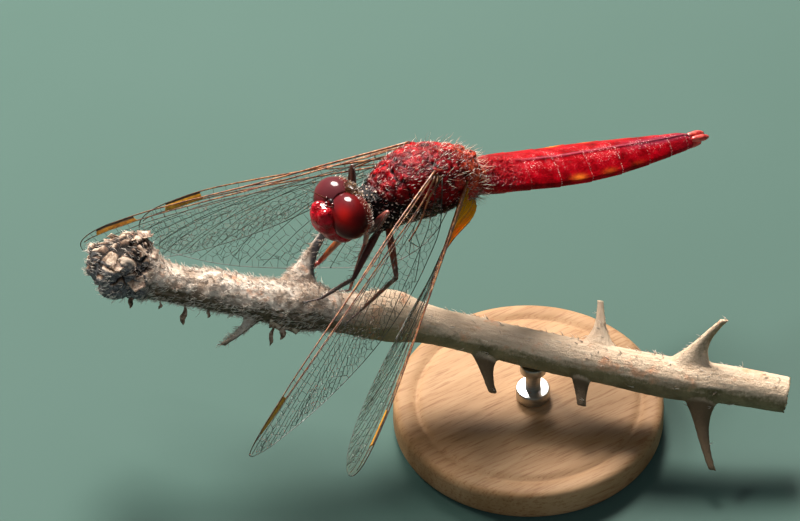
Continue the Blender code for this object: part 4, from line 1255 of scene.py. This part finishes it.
for name, hold in WINGS.items():
    first, last = SPOT_ALONG[name[:4]]
    radius_vein = (FORE_VEINS if name.startswith("fore") else HIND_VEINS)["radius"]

    def spot_surface(u, v, hold=hold, first=first, last=last, radius_vein=radius_vein):
        along = first + (last - first) * v + SPOT_SLANT * (u - 0.5) * np.where(v > 0.5, 1, -1)
        lead, _ = outline(hold[0], along)
        return wing_points(hold, along, lead + between(radius_vein, along)[0] * u)[0]

    wing_spot = wrap(f"wing_spot_{name}", 10, 40, spot_surface, ends=False)
    apply(wing_spot, "SOLIDIFY", thickness=SPOT_THICKNESS * MM, offset=0.0)
    wing_spot.data.uv_layers.active.name = "WingPlane"
    wing_spot.data.materials.append(spot_amber)
    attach(wing_spot, "root")
    print(wing_spot.name, "is", round((last - first) * hold[0]["length"], 1), "mm long")

# %% [markdown]
# ## The legs
# Each leg is a swollen thigh, a slim shin and a three-jointed foot with two claws. Two rows of
# long stiff spines along the shin make a basket for catching flies. The limbs are spindles between
# the ends of the solids, and the spines are thin tapered rods joined to them, one leg to a piece.

# %% Where the joints are
def leg_joints(leg):
    """The hip, the knee, the ankle and the toe, each between the ends of two solids."""
    hip, knee = hip_first(leg)
    joints, last = [hip], knee
    for part in ("tibia", "tarsus"):
        near_end, far_end = sorted(limb_ends(f"leg_{leg}_{part}"), key=lambda end: np.linalg.norm(end - last))
        joints.append((last + near_end) / 2)
        last = far_end
    return (*joints, last)


def spines(start, end, radius, count, length, seed):
    """Two rows of spines down a limb, leaning towards its far end."""
    chance = np.random.default_rng(seed)
    heading = (end - start) / np.linalg.norm(end - start)
    up = np.array((0.0, 0.0, 1.0)) - heading * heading[2]
    up /= np.linalg.norm(up)
    side = np.cross(heading, up)
    splay = radians(62)
    lines = []
    for row in (-1, 1):
        for share in (np.arange(count) + 0.5 + 0.25 * row) / count:
            out = up * cos(splay) + side * row * sin(splay)
            reach = length * chance.uniform(0.75, 1.1) * (1.15 - 0.5 * share)
            foot = start + (end - start) * share + out * radius * 0.7 * MM
            lean = out + heading * chance.uniform(0.35, 0.6)
            lean /= np.linalg.norm(lean)
            route = [foot, foot + lean * reach * 0.55 * MM, foot + (lean + heading * 0.12) * reach * MM]
            lines.append(dict(route=route, radii=np.array((0.036, 0.026, 0.008)) * MM, tone=1.0))
    return lines

# %% Leg pieces
# where each joint of the foot starts and ends, as shares of its length, and its radius
FOOT_JOINTS = ((0.0, 0.3, 0.1), (0.28, 0.6, 0.09), (0.58, 1.0, 0.085))
HIP_DEPTH, ARCH = 0.55, 0.14                  # how far the thigh starts inside the hip, and its arch
walking_legs = {}
for number, leg in enumerate(LEGS):
    hip, knee, ankle, toe = leg_joints(leg)
    thigh, shin, foot = knee - hip, ankle - knee, toe - ankle
    inside = hip + (hip - knee) / np.linalg.norm(hip - knee) * HIP_DEPTH * MM
    arch = np.array((0.0, 0.0, ARCH)) * MM
    foot_run = foot / np.linalg.norm(foot)
    limbs = [spindle("thigh", (inside, hip + thigh * 0.2 + arch, hip + thigh * 0.65 + arch, knee),
                     (0.24, 0.34, 0.29, 0.2), around=16, along=36),
             spindle("shin", (knee - shin * 0.02, knee + shin * 0.15 + arch * 0.4,
                              knee + shin * 0.7 + arch * 0.3, ankle),
                     (0.19, 0.19, 0.16, 0.11), around=14, along=36)]
    for first, last, radius in FOOT_JOINTS:
        limbs.append(spindle("foot", [ankle + foot * (first + (last - first) * t) for t in (0, 0.4, 0.8, 1)],
                             (radius * 0.7, radius * 0.8, radius, radius * 0.9), around=10, along=12))
    claws = []
    for turn in (-1, 1):
        side = np.cross(foot_run, (0, 0, 1.0)) * turn
        hook = foot_run * 0.3 + side * 0.17 - np.array((0, 0, 0.12))
        claws.append(dict(route=[toe - foot_run * 0.08 * MM, toe + (foot_run * 0.18 + side * 0.1) * MM,
                                 toe + hook * MM], radii=np.array((0.05, 0.04, 0.008)) * MM, tone=1.0))
    thorns = strands("spines", claws + spines(knee, ankle, 0.16, 10, 0.72, number)
                     + spines(hip + thigh * 0.25, knee, 0.26, 7, 0.3, number + 20), sides=5)
    walking_leg = join(f"walking_leg_{leg}", limbs + [thorns])
    places = points_of(walking_leg.data)
    mark(walking_leg.data, knee=near(np.linalg.norm(places - knee, axis=1), 0.0, 0.9 * MM),
         foot=np.clip(1 - np.linalg.norm(places - toe, axis=1) / (2.4 * MM), 0, 1))
    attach(walking_leg, "root")
    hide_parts(*(f"leg_{leg}_{part}" for part in ("femur", "tibia", "tarsus")))
    walking_legs[leg] = walking_leg
    print(walking_leg.name, len(walking_leg.data.polygons), "faces, knee at", (knee / MM).round(1))

# %% [markdown]
# ### Their finish: satin red-brown cuticle
# The legs are the same chitin again, red-brown, and nearly black at the feet and spines. Each
# leg's tones are painted lighter or darker for how the light falls on it, so the recipe is one
# loop and each leg brings its own dark tone, light tone and knee. The pink knee of the left
# foreleg and the red knee of the right middle leg are painted highlights.

# %% Leg finishes
# painted light and shade: each leg is lighter or darker for how the light falls on it, and the bright knees
# of the left foreleg and right middle leg are painted highlights
LEG_COLOURS_WITH_PAINTED_LIGHT = {
    "fore_left": ("#3A0808", "#6E1A14", "#A05A50"), "fore_right": ("#2E1610", "#5E3222", "#4A2418"),
    "mid_left": ("#220C0C", "#581C16", "#2E1010"), "mid_right": ("#5E260E", "#B45A22", "#C2382C"),
    "hind_left": ("#38160E", "#84381E", "#4A1A12"), "hind_right": ("#3A1A12", "#7A3A22", "#5A2018"),
}
for leg, (deep, light, knee_joint_and_highlight) in LEG_COLOURS_WITH_PAINTED_LIGHT.items():
    leg_chitin, tree, shader, spread = new_finish(f"leg_chitin_{leg}", Roughness=0.35, IOR=1.56,
                                                  Coat_Weight=0.2, Coat_Roughness=0.2)
    cloud = add(tree, "TexNoise", {"Vector": spread, "Scale": per(0.6), "Detail": 4.0, "Roughness": 0.6})
    colour = add(tree, "ValToRGB", {"Fac": cloud}, [(0.32, deep), (0.66, light)])
    for share, over in (("knee", knee_joint_and_highlight), ("foot", "#1A0A0A"), ("tone", "#100808")):
        colour = add(tree, "Mix", {"Factor": share, "A": colour, "B": over}, data_type="RGBA")
    grain = add(tree, "TexNoise", {"Vector": spread, "Scale": per(0.07), "Detail": 3.0})
    bump = add(tree, "Bump", {"Height": grain, "Distance": 0.00004, "Strength": 0.7})
    wire(shader, Base_Color=colour, Normal=bump)
    walking_legs[leg].data.materials.append(leg_chitin)
for name in ("left", "right"):
    bpy.data.objects[f"feeler_{name}"].data.materials.append(leg_chitin)
print("leg finishes:", len(LEG_COLOURS_WITH_PAINTED_LIGHT))

# %% [markdown]
# ## The cane
# The perch is an old bramble cane, sun-bleached, with wide-footed thorns. One end is a dead stub
# of curled bark. The tube and the thorns are melted together so that each thorn grows out of the
# bark, then chance bumps press ridges along it and crack the stub into plates.

# %% The cane's course and its thorns
CANE_ORIGIN = np.array((-3.66, -5.88, -13.89))
CANE_ALONG = np.array((0.791, -0.589, -0.173)) / np.linalg.norm((0.791, -0.589, -0.173))
CANE_RISE = np.array((0.522, 0.498, 0.692))
CANE_RISE = CANE_RISE - CANE_ALONG * CANE_RISE.dot(CANE_ALONG)
CANE_RISE = CANE_RISE / np.linalg.norm(CANE_RISE)
CANE_SWING = np.cross(CANE_ALONG, CANE_RISE)
CUT_AT = 31.15
# distance along, rise, swing to the insect's left, radius
CANE = ((-31.5, 0.5, 0.0, 1.1), (-30.2, 0.0, 0.0, 2.1), (-29.3, 0.1, 0.0, 2.75), (-27.6, 0.45, 0.0, 2.8),
        (-26.6, 0.25, 0.0, 2.45), (-26.0, 0.0, 0.0, 2.15), (-19.7, -0.35, 0.1, 1.8), (-15.9, -0.4, 0.1, 1.85),
        (-12.6, -0.25, 0.0, 2.1), (-8.9, -0.3, -0.8, 1.75), (-4.0, 0.2, -2.9, 2.3), (-1.6, 0.1, -3.5, 1.8),
        (3.6, -0.15, -3.2, 1.65), (10.7, -0.5, -2.4, 1.75), (15.4, -0.6, -1.8, 1.75),
        (20.9, -0.7, -1.2, 1.85), (26.2, -0.4, -0.7, 1.7), (31.8, -0.35, -0.5, 1.6))
# foot along the cane, half length of the foot, then the tip's along, rise and swing
THORNS = ((-13.1, 2.1, (-11.6, 6.3, 0.0)), (-15.9, 1.7, (-18.4, -4.7, 0.6)), (4.3, 2.2, (5.6, -4.6, 0.8)),
          (13.0, 2.4, (13.5, -4.3, 1.2)), (14.2, 1.7, (13.7, 4.6, -0.4)), (22.3, 2.0, (24.2, 4.9, 2.2)),
          (23.6, 2.0, (25.6, -7.6, 0.9)))

# %% Cane and thorns as one skin
def cane_place(along, rise, swing):
    along, rise, swing = (np.asarray(value, float)[..., None] for value in (along, rise, swing))
    return world(CANE_ORIGIN + CANE_ALONG * along + CANE_RISE * rise + CANE_SWING * swing)


def on_the_cane(places):
    """How far along the cane places are, and their angle round it, 0 on top."""
    off = (np.asarray(places) - WING_ROOTS) / MM - CANE_ORIGIN
    along = off @ CANE_ALONG
    rise, swing, _ = between(CANE, along)
    return along, np.arctan2(off @ CANE_SWING - swing, off @ CANE_RISE - rise)


def cane_surface(u, v):
    along = CANE[0][0] + v * (CANE[-1][0] - CANE[0][0])
    rise, swing, radius = between(CANE, along)
    return cane_place(along, rise + radius * np.cos(2 * pi * u), swing + radius * np.sin(2 * pi * u))


def thorn(number, foot, half_foot, tip):
    """One thorn: wide and rounded at its foot, hooked, and closed a little short of its own end."""
    _, swing, _ = between(CANE, np.array((foot, tip[0])))
    start, end = cane_place(foot, 0, swing[0]), cane_place(tip[0], tip[1], tip[2] + swing[1])
    reach = end - start
    out = reach - CANE_ALONG * reach.dot(CANE_ALONG)
    out /= np.linalg.norm(out)
    lean = reach - out * reach.dot(out)
    across = np.cross(out, CANE_ALONG)

    def surface(u, v):
        v = v[:, None] * 1.06
        centre = start + out * reach.dot(out) * v + lean * v ** 2
        slim = np.clip(1 - v, 0, 1) ** 1.5 * 0.45 + 0.2 + 0.6 * np.exp(-(v / 0.32) ** 2)
        thick = min(1.15, half_foot * 0.7) * slim
        return centre + (CANE_ALONG * np.cos(2 * pi * u)[:, None] * half_foot * slim
                         + across * np.sin(2 * pi * u)[:, None] * thick) * MM

    return wrap(f"thorn_{number}", 24, 40, surface)


cane = join("bramble_cane", [wrap("cane_tube", 56, 260, cane_surface)]
            + [thorn(number, *row) for number, row in enumerate(THORNS)])
one_skin(cane, 0.15, 5)
print("cane and thorns as one skin:", len(cane.data.polygons), "faces")

# %% Bark pressed into the cane
BARK_SEED = 2
PLATE_GAP = 0.22                              # how far a crack's sides slope, as a share of a plate
places, out = points_of(cane.data), normals_of(cane.data)
along, angle = on_the_cane(places)
stub = fade_in(-25.2 - along, 1.2)
knot = np.exp(-((along + 12.5) / 3.0) ** 2)
rise, swing, radius = between(CANE, along)
off = np.linalg.norm(places - cane_place(along, rise, swing), axis=1) / (radius * MM)
calm = 1 - 0.75 * fade_in(off - 1.15, 0.5)            # thorns are smoother than bark
stretched = np.column_stack([along * 0.16, np.cos(angle) * 1.9, np.sin(angle) * 1.9]) * MM
noise.seed_set(BARK_SEED)                     # without it noise_vector differs on every run
warped = places + np.array([noise.noise_vector(Vector(p) * per(1.1)) for p in places]) * 0.5 * MM
cracks = [noise.voronoi(Vector(p) * per(1.5))[0] for p in warped[stub > 0]]
plate = np.zeros(len(places))
plate[stub > 0] = [min(d[1] - d[0], PLATE_GAP) / PLATE_GAP - 0.6 for d in cracks]
lumps = bumps(places + 0.4, 1.7, 3)
furred = 0.45 + 0.55 * fade_in(-6.0 - along, 4.0)
move = (0.10 * bumps(stretched, 0.6, 3) + 0.05 * bumps(places, 0.45, 2)) * (1 - stub) * furred
move = move * calm + stub * (0.34 * plate + 0.25 * lumps) + knot * calm * 0.16 * bumps(places, 0.8, 3)
put_points(cane.data, places + out * move[:, None] * MM)
mark(cane.data, plate=plate + 0.3 * lumps)

# %% The sawn end, and what the finish needs to know
edit(lambda: bpy.ops.mesh.bisect(plane_co=cane_place(CUT_AT, 0.0, 0.0), plane_no=CANE_ALONG, use_fill=True,
                                 clear_outer=True))
places, out = points_of(cane.data), normals_of(cane.data)
along, angle = on_the_cane(places)
away = np.linalg.norm(places - cane_place(along, *between(CANE, along)[:2]), axis=1) / MM
# painted shade: dark grey on the tail side of the first thorn, dark brown under the thorns on the right part
first_thorn = near(along, -11.9, 1.9) * (out @ CANE_RISE > -0.5) * (np.abs(angle) < 1.2)
tail_side = np.clip((out @ CANE_ALONG + 0.1) / 0.3 + (away - 4.2) / 0.8, 0, 1)
# the underside mark places painted shade on the cane and grey mould on the stub
mark(cane.data, stub=fade_in(-25.6 - along, 0.8), under=fade_in(-out @ CANE_RISE + 0.1, 0.7),
     left=fade_in(-6.0 - along, 4.0), cut=along > CUT_AT - 0.02, around=angle, along=along,
     shoulder=first_thorn * tail_side * fade_in(away - 2.0, 0.8),
     lower_thorn=fade_in(away - 1.75, 0.35) * (np.abs(angle) > 1.7) * (along > 0.0))
unwrap(cane)
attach(cane, "root")
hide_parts("perch_cane")
print("cane:", len(cane.data.polygons), "faces")

# %% [markdown]
# ### Its finish: bleached bark
# Dead bark is matt cellulose, streaked along the grain. It is bleached pale, and painted shade
# darkens its underside to grey-brown and olive, the undersides of the thorns on the right part
# and the tail side of the first thorn. The stub's plates are dark in their cracks and pale on
# their middles, partly their weathered colour and partly painted shade in the cracks; the stub's
# underside is grey with mould, and the sawn end is fresh wood. One noise over the whole cane would
# look like stone, so the streaks follow the cane's own length and turn, kept on the skin.

# %% Cane finish
bleached_bark, tree, shader, spread = new_finish("bleached_bark", Roughness=0.85, Specular_IOR_Level=0.25)
grain_map = add(tree, "CombineXYZ", {"X": "along", "Y": "around"})
stretched = add(tree, "Mapping", {"Vector": grain_map, "Scale": (0.35, 3.6, 1.0)})
streak = add(tree, "TexNoise", {"Vector": stretched, "Scale": 1.6, "Detail": 6.0, "Roughness": 0.65})
cloud = add(tree, "TexNoise", {"Vector": spread, "Scale": per(2.2), "Detail": 6.0, "Roughness": 0.62})
fine = add(tree, "TexNoise", {"Vector": spread, "Scale": per(0.28), "Detail": 4.0, "Roughness": 0.75})
smooth_bark = add(tree, "ValToRGB", {"Fac": streak},
                  [(0.28, "#BEA084"), (0.45, "#D6BCA2"), (0.62, "#DEC8B0"), (0.78, "#E6D4BE")])
furred_bark = add(tree, "ValToRGB", {"Fac": cloud}, [(0.3, "#766355"), (0.44, "#AD9887"), (0.58, "#DED6CC")])
patch = add(tree, "MapRange", {"Value": cloud, "From Min": 0.56, "From Max": 0.68})
# painted shade: the underside is dimmed, its edge broken by fine noise
shade_edge = add(tree, "Math", {0: fine, 1: 1.1, 2: "under"}, operation="MULTIPLY_ADD")
shade = add(tree, "MapRange", {"Value": shade_edge, "From Min": 0.85, "From Max": 1.45})
dim = add(tree, "ValToRGB", {"Fac": cloud}, [(0.3, "#5A5238"), (0.6, "#8A7E5E"), (0.8, "#A69C78")])
dim_fur = add(tree, "ValToRGB", {"Fac": fine}, [(0.35, "#1E1810"), (0.62, "#6A5C48")])
dimmed = add(tree, "Mix", {"Factor": "left", "A": dim, "B": dim_fur}, data_type="RGBA")
# the plates are dark in their cracks, partly their weathered colour and partly painted shade
crack_shade_and_tone = add(tree, "Math", {0: fine, 1: 0.7, 2: "plate"}, operation="MULTIPLY_ADD")
plates = add(tree, "ValToRGB", {"Fac": crack_shade_and_tone},
             [(0.1, "#17100C"), (0.4, "#5C4638"), (0.62, "#96806E"), (0.8, "#D2BEAC")])
mould = add(tree, "MapRange", {"Value": "under", "From Min": 0.1, "From Max": 0.4})
mould_grain = add(tree, "ValToRGB", {"Fac": fine}, [(0.36, "#242426"), (0.62, "#868486")])
mouldy = add(tree, "Mix", {"Factor": mould, "A": plates, "B": mould_grain}, data_type="RGBA")
rings = add(tree, "TexWave", {"Vector": spread, "Scale": per(3.0), "Distortion": 6.0, "Detail": 3.0})
sawn = add(tree, "ValToRGB", {"Fac": rings}, [(0.2, "#C9A87C"), (0.8, "#E6CFA4")])
colour = smooth_bark
# the underside, the thorns' undersides and the first thorn's tail side get painted shade here
for share, over in (("left", furred_bark), (patch, "#D9A482"), (shade, dimmed), ("lower_thorn", "#6A5844"),
                    ("shoulder", "#4C494C"), ("stub", mouldy), ("cut", sawn)):
    colour = add(tree, "Mix", {"Factor": share, "A": colour, "B": over}, data_type="RGBA")
rough = add(tree, "Bump", {"Height": fine, "Distance": 0.0002, "Strength": 0.8})
ridged = add(tree, "Bump", {"Height": streak, "Distance": 0.0002, "Strength": 0.5, "Normal": rough})
wire(shader, Base_Color=colour, Normal=ridged)
cane.data.materials.append(bleached_bark)

# %% [markdown]
# ### Fibres and flakes on the cane
# Old bramble bark frays: the older left part is furred with short pale fibres, the smoother
# right part carries only a few, a tangle of them lies below the first thorn, and the stub has
# curled scales of bark on it. A few shreds hang below: short rods that start inside the bark.

# %% Hair and fibre
def strand_finish(name, patch_mm, tones, **constants):
    """Each strand has its own tone, and the coat is paler in some patches than in others."""
    made, tree, shader, spread = new_finish(name, **constants)
    cloud = add(tree, "TexNoise", {"Vector": spread, "Scale": per(patch_mm), "Detail": 2.0})
    mixed = add(tree, "Math", {0: "tone", 1: cloud}, operation="MULTIPLY")
    wire(shader, Base_Color=add(tree, "ValToRGB", {"Fac": mixed}, tones))
    return made

# %% Cane fibres
def fibre_growth(places, out):
    along, _ = on_the_cane(places)
    furred = np.clip((-5.0 - along) / 6.0, 0.1, 1.0)
    sheltered = np.where((along > -5.0) & (out @ CANE_RISE < 0.2), 0.1, 1.0)
    return furred * np.where(along < -26.5, 0.25, 1.0) * (along < CUT_AT - 0.4) * sheltered


cane_fibres = hair("cane_fibres", cane, 9500, 31, fibre_growth, CANE_ALONG * -1.0, 0.55, stand=0.34, each=2,
                   width_mm=0.028)
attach(cane_fibres, "root")
FIBRE_TONES = [(0.05, "#8A7468"), (0.2, "#E0CEC0"), (0.5, "#FBF4EC")]
pale_fibre = strand_finish("pale_fibre", 1.2, FIBRE_TONES, Roughness=0.7)
cane_fibres.data.materials.append(pale_fibre)

# %% Tangled fibres below the first thorn
def tangle_growth(places, out):
    along, angle = on_the_cane(places)
    return near(along, -12.6, 1.5) * near(angle, -2.0, 0.9) + 0.012 * (along < -9.0) * (along > -26.0)


tangle_chance = np.random.default_rng(33)
tangled_fibres = hair("tangled_fibres", cane, 9000, 32, tangle_growth,
                      lambda place: tangle_chance.normal(0, 1, 3), 1.0, stand=0.45, width_mm=0.03, bend=0.9)
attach(tangled_fibres, "root")
tangled_fibres.data.materials.append(pale_fibre)

# %% Bits that hang from the cane
# distance along, how far below the middle it starts and ends, thickest radius, all in millimetres
HANGING_BITS = ((-27.2, 1.8, 3.7, 0.28), (-22.4, 1.3, 3.4, 0.36), (-14.5, 1.4, 4.0, 0.24),
                (-20.3, 1.4, 2.5, 0.24), (-24.6, 1.5, 2.5, 0.2), (-13.6, 1.4, 3.3, 0.36))
BIT_SHAPE = (0.5, 0.35, 0.3, 0.7, 1.0, 0.7, 0.12)      # shares of that radius, from the bark down
bits = []
for along, start, end, radius in HANGING_BITS:
    rise, swing, _ = between(CANE, np.array(along))
    drop = np.linspace(start, end, len(BIT_SHAPE))
    sway = 0.12 * np.sin(np.arange(len(BIT_SHAPE)) * 1.9 + along)
    route = cane_place(along + sway, rise - drop, swing + sway[::-1])
    bits.append(dict(route=route, radii=np.array(BIT_SHAPE) * radius * MM, tone=0.3))
hanging_bits = strands("hanging_bits", bits, sides=9)
apply(hanging_bits, "SUBSURF", levels=1, render_levels=1)
places = points_of(hanging_bits.data)
rough = normals_of(hanging_bits.data) * 0.05 * MM * bumps(places, 0.3)[:, None]
put_points(hanging_bits.data, places + rough)
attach(hanging_bits, "root")
print("hanging bits:", len(bits))

# %% Where bark flakes grow
def flake_growth(places, out):
    along, _ = on_the_cane(places)
    on_the_stub = np.where(along < -26.2, 0.045, 0.0) * (out @ CANE_RISE > -0.15)
    below_the_thorn = np.where(np.abs(along + 13.0) < 2.2, 0.02, 0.0) * (out @ CANE_RISE < -0.1)
    return on_the_stub + below_the_thorn

# %% Bark flakes
FLAKE_SEED, CUPPED, FLAKE_THICKNESS = 41, 0.16, 0.05
chance = np.random.default_rng(FLAKE_SEED)
flake_places, flake_out, _, _ = sow(cane, 5200, FLAKE_SEED, flake_growth)
flakes = []
for place, up in zip(flake_places, flake_out):
    side = np.cross(up, chance.normal(0, 1, 3))
    side /= np.linalg.norm(side)
    ahead = np.cross(side, up)
    wide, long, curl = chance.uniform(0.45, 1.05), chance.uniform(0.6, 1.3), chance.uniform(0.4, 1.1)

    def flake_surface(u, v, place=place, up=up, side=side, ahead=ahead, wide=wide, long=long, curl=curl):
        angle = curl * v
        forward = np.sin(angle) / curl * long
        lift = (1 - np.cos(angle)) / curl * long + CUPPED * (2 * u - 1) ** 2
        return place + (side * ((u - 0.5) * wide * 2 * (1 - 0.3 * v))[:, None] + ahead * forward[:, None]
                        + up * (lift - 0.05)[:, None]) * MM

    flakes.append(wrap("flake", 4, 8, flake_surface, ends=False))
bark_flakes = join("bark_flakes", flakes)
apply(bark_flakes, "SOLIDIFY", thickness=FLAKE_THICKNESS * MM, offset=0.0)
flake_bark, tree, shader, spread = new_finish("flake_bark", Roughness=0.8)
cloud = add(tree, "TexNoise", {"Vector": spread, "Scale": per(0.7), "Detail": 5.0, "Roughness": 0.7})
colour = add(tree, "ValToRGB", {"Fac": cloud}, [(0.34, "#2A1E16"), (0.48, "#7E6452"), (0.62, "#D0BAA6")])
bump = add(tree, "Bump", {"Height": cloud, "Distance": 0.0001, "Strength": 0.7})
wire(shader, Base_Color=colour, Normal=bump)
for piece in (bark_flakes, hanging_bits):
    piece.data.materials.append(flake_bark)
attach(bark_flakes, "root")
print("bark flakes:", len(flakes))

# %% [markdown]
# ## The insect's hair
# The thorax is furred with short pale bristles that lie back and catch the light as pinkish
# strokes. The neck has a grey-white ruff, the crown between the eyes a brown tuft, and a looser
# fringe bridges the thorax and the first rings. Each patch is sown over its skin with its own
# length and lie.

# %% Where each coat grows
BACKWARD = trunk(1.0, 0.0, 0.45)


def thorax_growth(places, out):
    back, _, height = in_trunk(places)
    return np.where(back < -6.6, 0.15, 1.0) * np.where(height < -4.6, 0.55, 1.0)


def neck_growth(places, out):
    back, _, height = in_trunk(places)
    return (back < -5.9) * (height > -6.5) * 1.0


def fringe_growth(places, out):
    back, _, height = in_trunk(places)
    return fade_in(back - 2.4, 1.5) + 0.25 * (height > -0.6) * (back > -2.6)


def rim_growth(places, out):
    return ((places - world(HEAD))[:, 0] / MM > 0.5) * 1.0


def crown_growth(places, out):
    x, y, z = ((places - world(HEAD)) / MM).T
    return (x > 0.1) * (z > 1.15) * (np.abs(y) < 0.95) * 1.0

# %% Coats
# skin, tufts, seed, growth, the way it lies, length, how far it stands off, width, then three tones
COATS = {
    "thorax_hair": (thorax, 1900, 51, thorax_growth, BACKWARD, 0.34, 0.35, 0.022,
                    ("#5A060A", "#C8604A", "#FFF2E6")),
    "neck_ruff": (thorax, 900, 52, neck_growth, BACKWARD, 0.45, 0.45, 0.02,
                  ("#1A1216", "#4A4246", "#D8D2D0")),
    "back_fringe": (thorax, 1700, 53, fringe_growth, BACKWARD, 1.1, 0.62, 0.016,
                    ("#6A2A18", "#B07A58", "#E8CDB4")),
    "head_hair": (head, 1400, 54, rim_growth, (1.0, 0.0, 0.2), 0.26, 0.6, 0.02,
                  ("#6A3A1A", "#C09A7A", "#F4EAE0")),
    "crown_tuft": (head, 5200, 55, crown_growth, (0.6, 0.0, 1.0), 0.36, 0.7, 0.028,
                   ("#2A1606", "#5E3A16", "#8E6632")),
}
for name, (skin, count, seed, growth, lie, length, stand, width, (low, mid, high)) in COATS.items():
    coat = hair(name, skin, count, seed, growth, lie, length, stand=stand, width_mm=width)
    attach(coat, "root")
    tones = [(0.08, low), (0.24, mid), (0.4, high)]
    coat.data.materials.append(strand_finish(f"bristle_{name}", 1.0, tones, Roughness=0.45, IOR=1.55))

# %% [markdown]
# ## The stand
# A disc of beech turned on a lathe carries one brushed steel rod with a collar at its foot and a
# small cup under the cane. The base starts as a cylinder as wide as its solid. Its edge is rounded,
# and the shallow groove round its top is cut as on a lathe, by setting the top face in and down.

# %% Stand base
# how far in and how far down each cut of the groove goes, in millimetres
GROOVE_CUTS = ((0.9, 0.0), (0.25, -0.18), (0.25, 0.0), (0.25, 0.18), (0.6, 0.0))
SMOOTH_BELOW = radians(40)
low, high = (np.array(corner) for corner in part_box("stand_base"))
bpy.ops.object.select_all(action="DESELECT")
bpy.ops.mesh.primitive_cylinder_add(vertices=128, radius=(high[0] - low[0]) / 2, depth=high[2] - low[2],
                                    location=tuple((low + high) / 2))
base = bpy.context.object
base.name = base.data.name = "beech_base"
bpy.ops.object.transform_apply(location=True)
apply(base, "BEVEL", width=0.75 * MM, segments=5, limit_method="ANGLE")
bpy.ops.object.mode_set(mode="EDIT")
bpy.ops.mesh.select_mode(type="FACE")
bpy.ops.mesh.select_all(action="DESELECT")
bpy.ops.object.mode_set(mode="OBJECT")
top_face = max(base.data.polygons, key=lambda face: face.center.z + face.area)
top_face.select = True
bpy.ops.object.mode_set(mode="EDIT")
for inwards, upwards in GROOVE_CUTS:
    bpy.ops.mesh.inset(thickness=inwards * MM)
    bpy.ops.transform.translate(value=(0, 0, upwards * MM))
bpy.ops.object.mode_set(mode="OBJECT")
bpy.ops.object.shade_smooth_by_angle(angle=SMOOTH_BELOW)
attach(base, "root")
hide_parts("stand_base")
print("beech base:", round((high[0] - low[0]) / MM, 1), "mm across")

# %% [markdown]
# ### Its finish: turned beech
# Beech is a plain pale-brown wood under a satin varnish. A flat brown would look like card, so it
# has two patterns along the same grain: the growth rings of a board, which run as long, slightly
# waved bands about 2 mm apart, and the short dark flecks between them, about 0.25 mm wide.

# %% Beech
GRAIN_TURN = (0.0, 0.1, radians(24))
beech, tree, shader, spread = new_finish("turned_beech", Roughness=0.7, Specular_IOR_Level=0.2)
board = add(tree, "Mapping", {"Vector": spread, "Rotation": GRAIN_TURN, "Scale": (0.12, 1.0, 0.35)})
waves = add(tree, "TexNoise", {"Vector": board, "Scale": per(2.0), "Detail": 4.0})
fibre = add(tree, "Mapping", {"Vector": spread, "Rotation": GRAIN_TURN, "Scale": (0.08, 1.0, 1.0)})
fleck = add(tree, "TexNoise", {"Vector": fibre, "Scale": per(0.25), "Detail": 3.0, "Roughness": 0.7})
wood = add(tree, "ValToRGB", {"Fac": waves}, [(0.3, "#8C6844"), (0.5, "#A07C58"), (0.7, "#AC8A66")])
flecks = add(tree, "ValToRGB", {"Fac": fleck}, [(0.32, "#B08458"), (0.5, "#FFFFFF")])
colour = add(tree, "Mix", {"Factor": 0.55, "A": wood, "B": flecks}, data_type="RGBA", blend_type="MULTIPLY")
bump = add(tree, "Bump", {"Height": fleck, "Distance": 0.00006, "Strength": 0.4})
wire(shader, Base_Color=colour, Normal=bump)
base.data.materials.append(beech)

# %% [markdown]
# ### The rod
# Steel brushed round the rod has fine scratches across its length, so its noise is squeezed along
# Z and changes both the roughness and the tone. The three turned shapes share one axis.

# %% Stand rod
low, high = (np.array(corner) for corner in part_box("stand_rod"))
rod_radius = (high[0] - low[0]) / 2
rod_axis = (low + high) / 2
ROD_SHAPES = ((low[2] - 0.2 * MM, high[2], rod_radius * 0.8),                       # the rod itself
              (low[2] - 0.2 * MM, low[2] + 0.9 * MM, rod_radius * 1.7),             # its collar
              (high[2] - 1.0 * MM, high[2] - 0.05 * MM, rod_radius * 1.35))         # its cup
parts = []
for foot, top, radius in ROD_SHAPES:
    bpy.ops.object.select_all(action="DESELECT")
    bpy.ops.mesh.primitive_cylinder_add(vertices=48, radius=radius, depth=top - foot,
                                        location=(rod_axis[0], rod_axis[1], (foot + top) / 2))
    made = bpy.context.object
    bpy.ops.object.transform_apply(location=True)
    apply(made, "BEVEL", width=0.12 * MM, segments=3, limit_method="ANGLE")
    parts.append(made)
rod = join("steel_rod", parts)
bpy.ops.object.shade_smooth_by_angle(angle=SMOOTH_BELOW)
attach(rod, "root")
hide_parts("stand_rod")
brushed_steel, tree, shader, spread = new_finish("brushed_steel", Metallic=1.0)
brushing = add(tree, "Mapping", {"Vector": spread, "Scale": (1.0, 1.0, 12.0)})
lines = add(tree, "TexNoise", {"Vector": brushing, "Scale": per(1.0), "Detail": 4.0})
gloss = add(tree, "MapRange", {"Value": lines, "To Min": 0.22, "To Max": 0.45})
steel = add(tree, "ValToRGB", {"Fac": lines}, [(0.3, "#A8A9A8"), (0.7, "#CFD0CE")])
bump = add(tree, "Bump", {"Height": lines, "Distance": 0.00003, "Strength": 0.3})
wire(shader, Base_Color=steel, Roughness=gloss, Normal=bump)
rod.data.materials.append(brushed_steel)
print("steel rod:", round((high[2] - low[2]) / MM, 1), "mm tall")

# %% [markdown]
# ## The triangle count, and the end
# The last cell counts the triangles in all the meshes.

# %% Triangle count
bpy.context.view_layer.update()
triangles = sum(len(f.vertices) - 2 for o in bpy.data.objects if o.type == "MESH" for f in o.data.polygons)
print("triangles in all:", triangles)
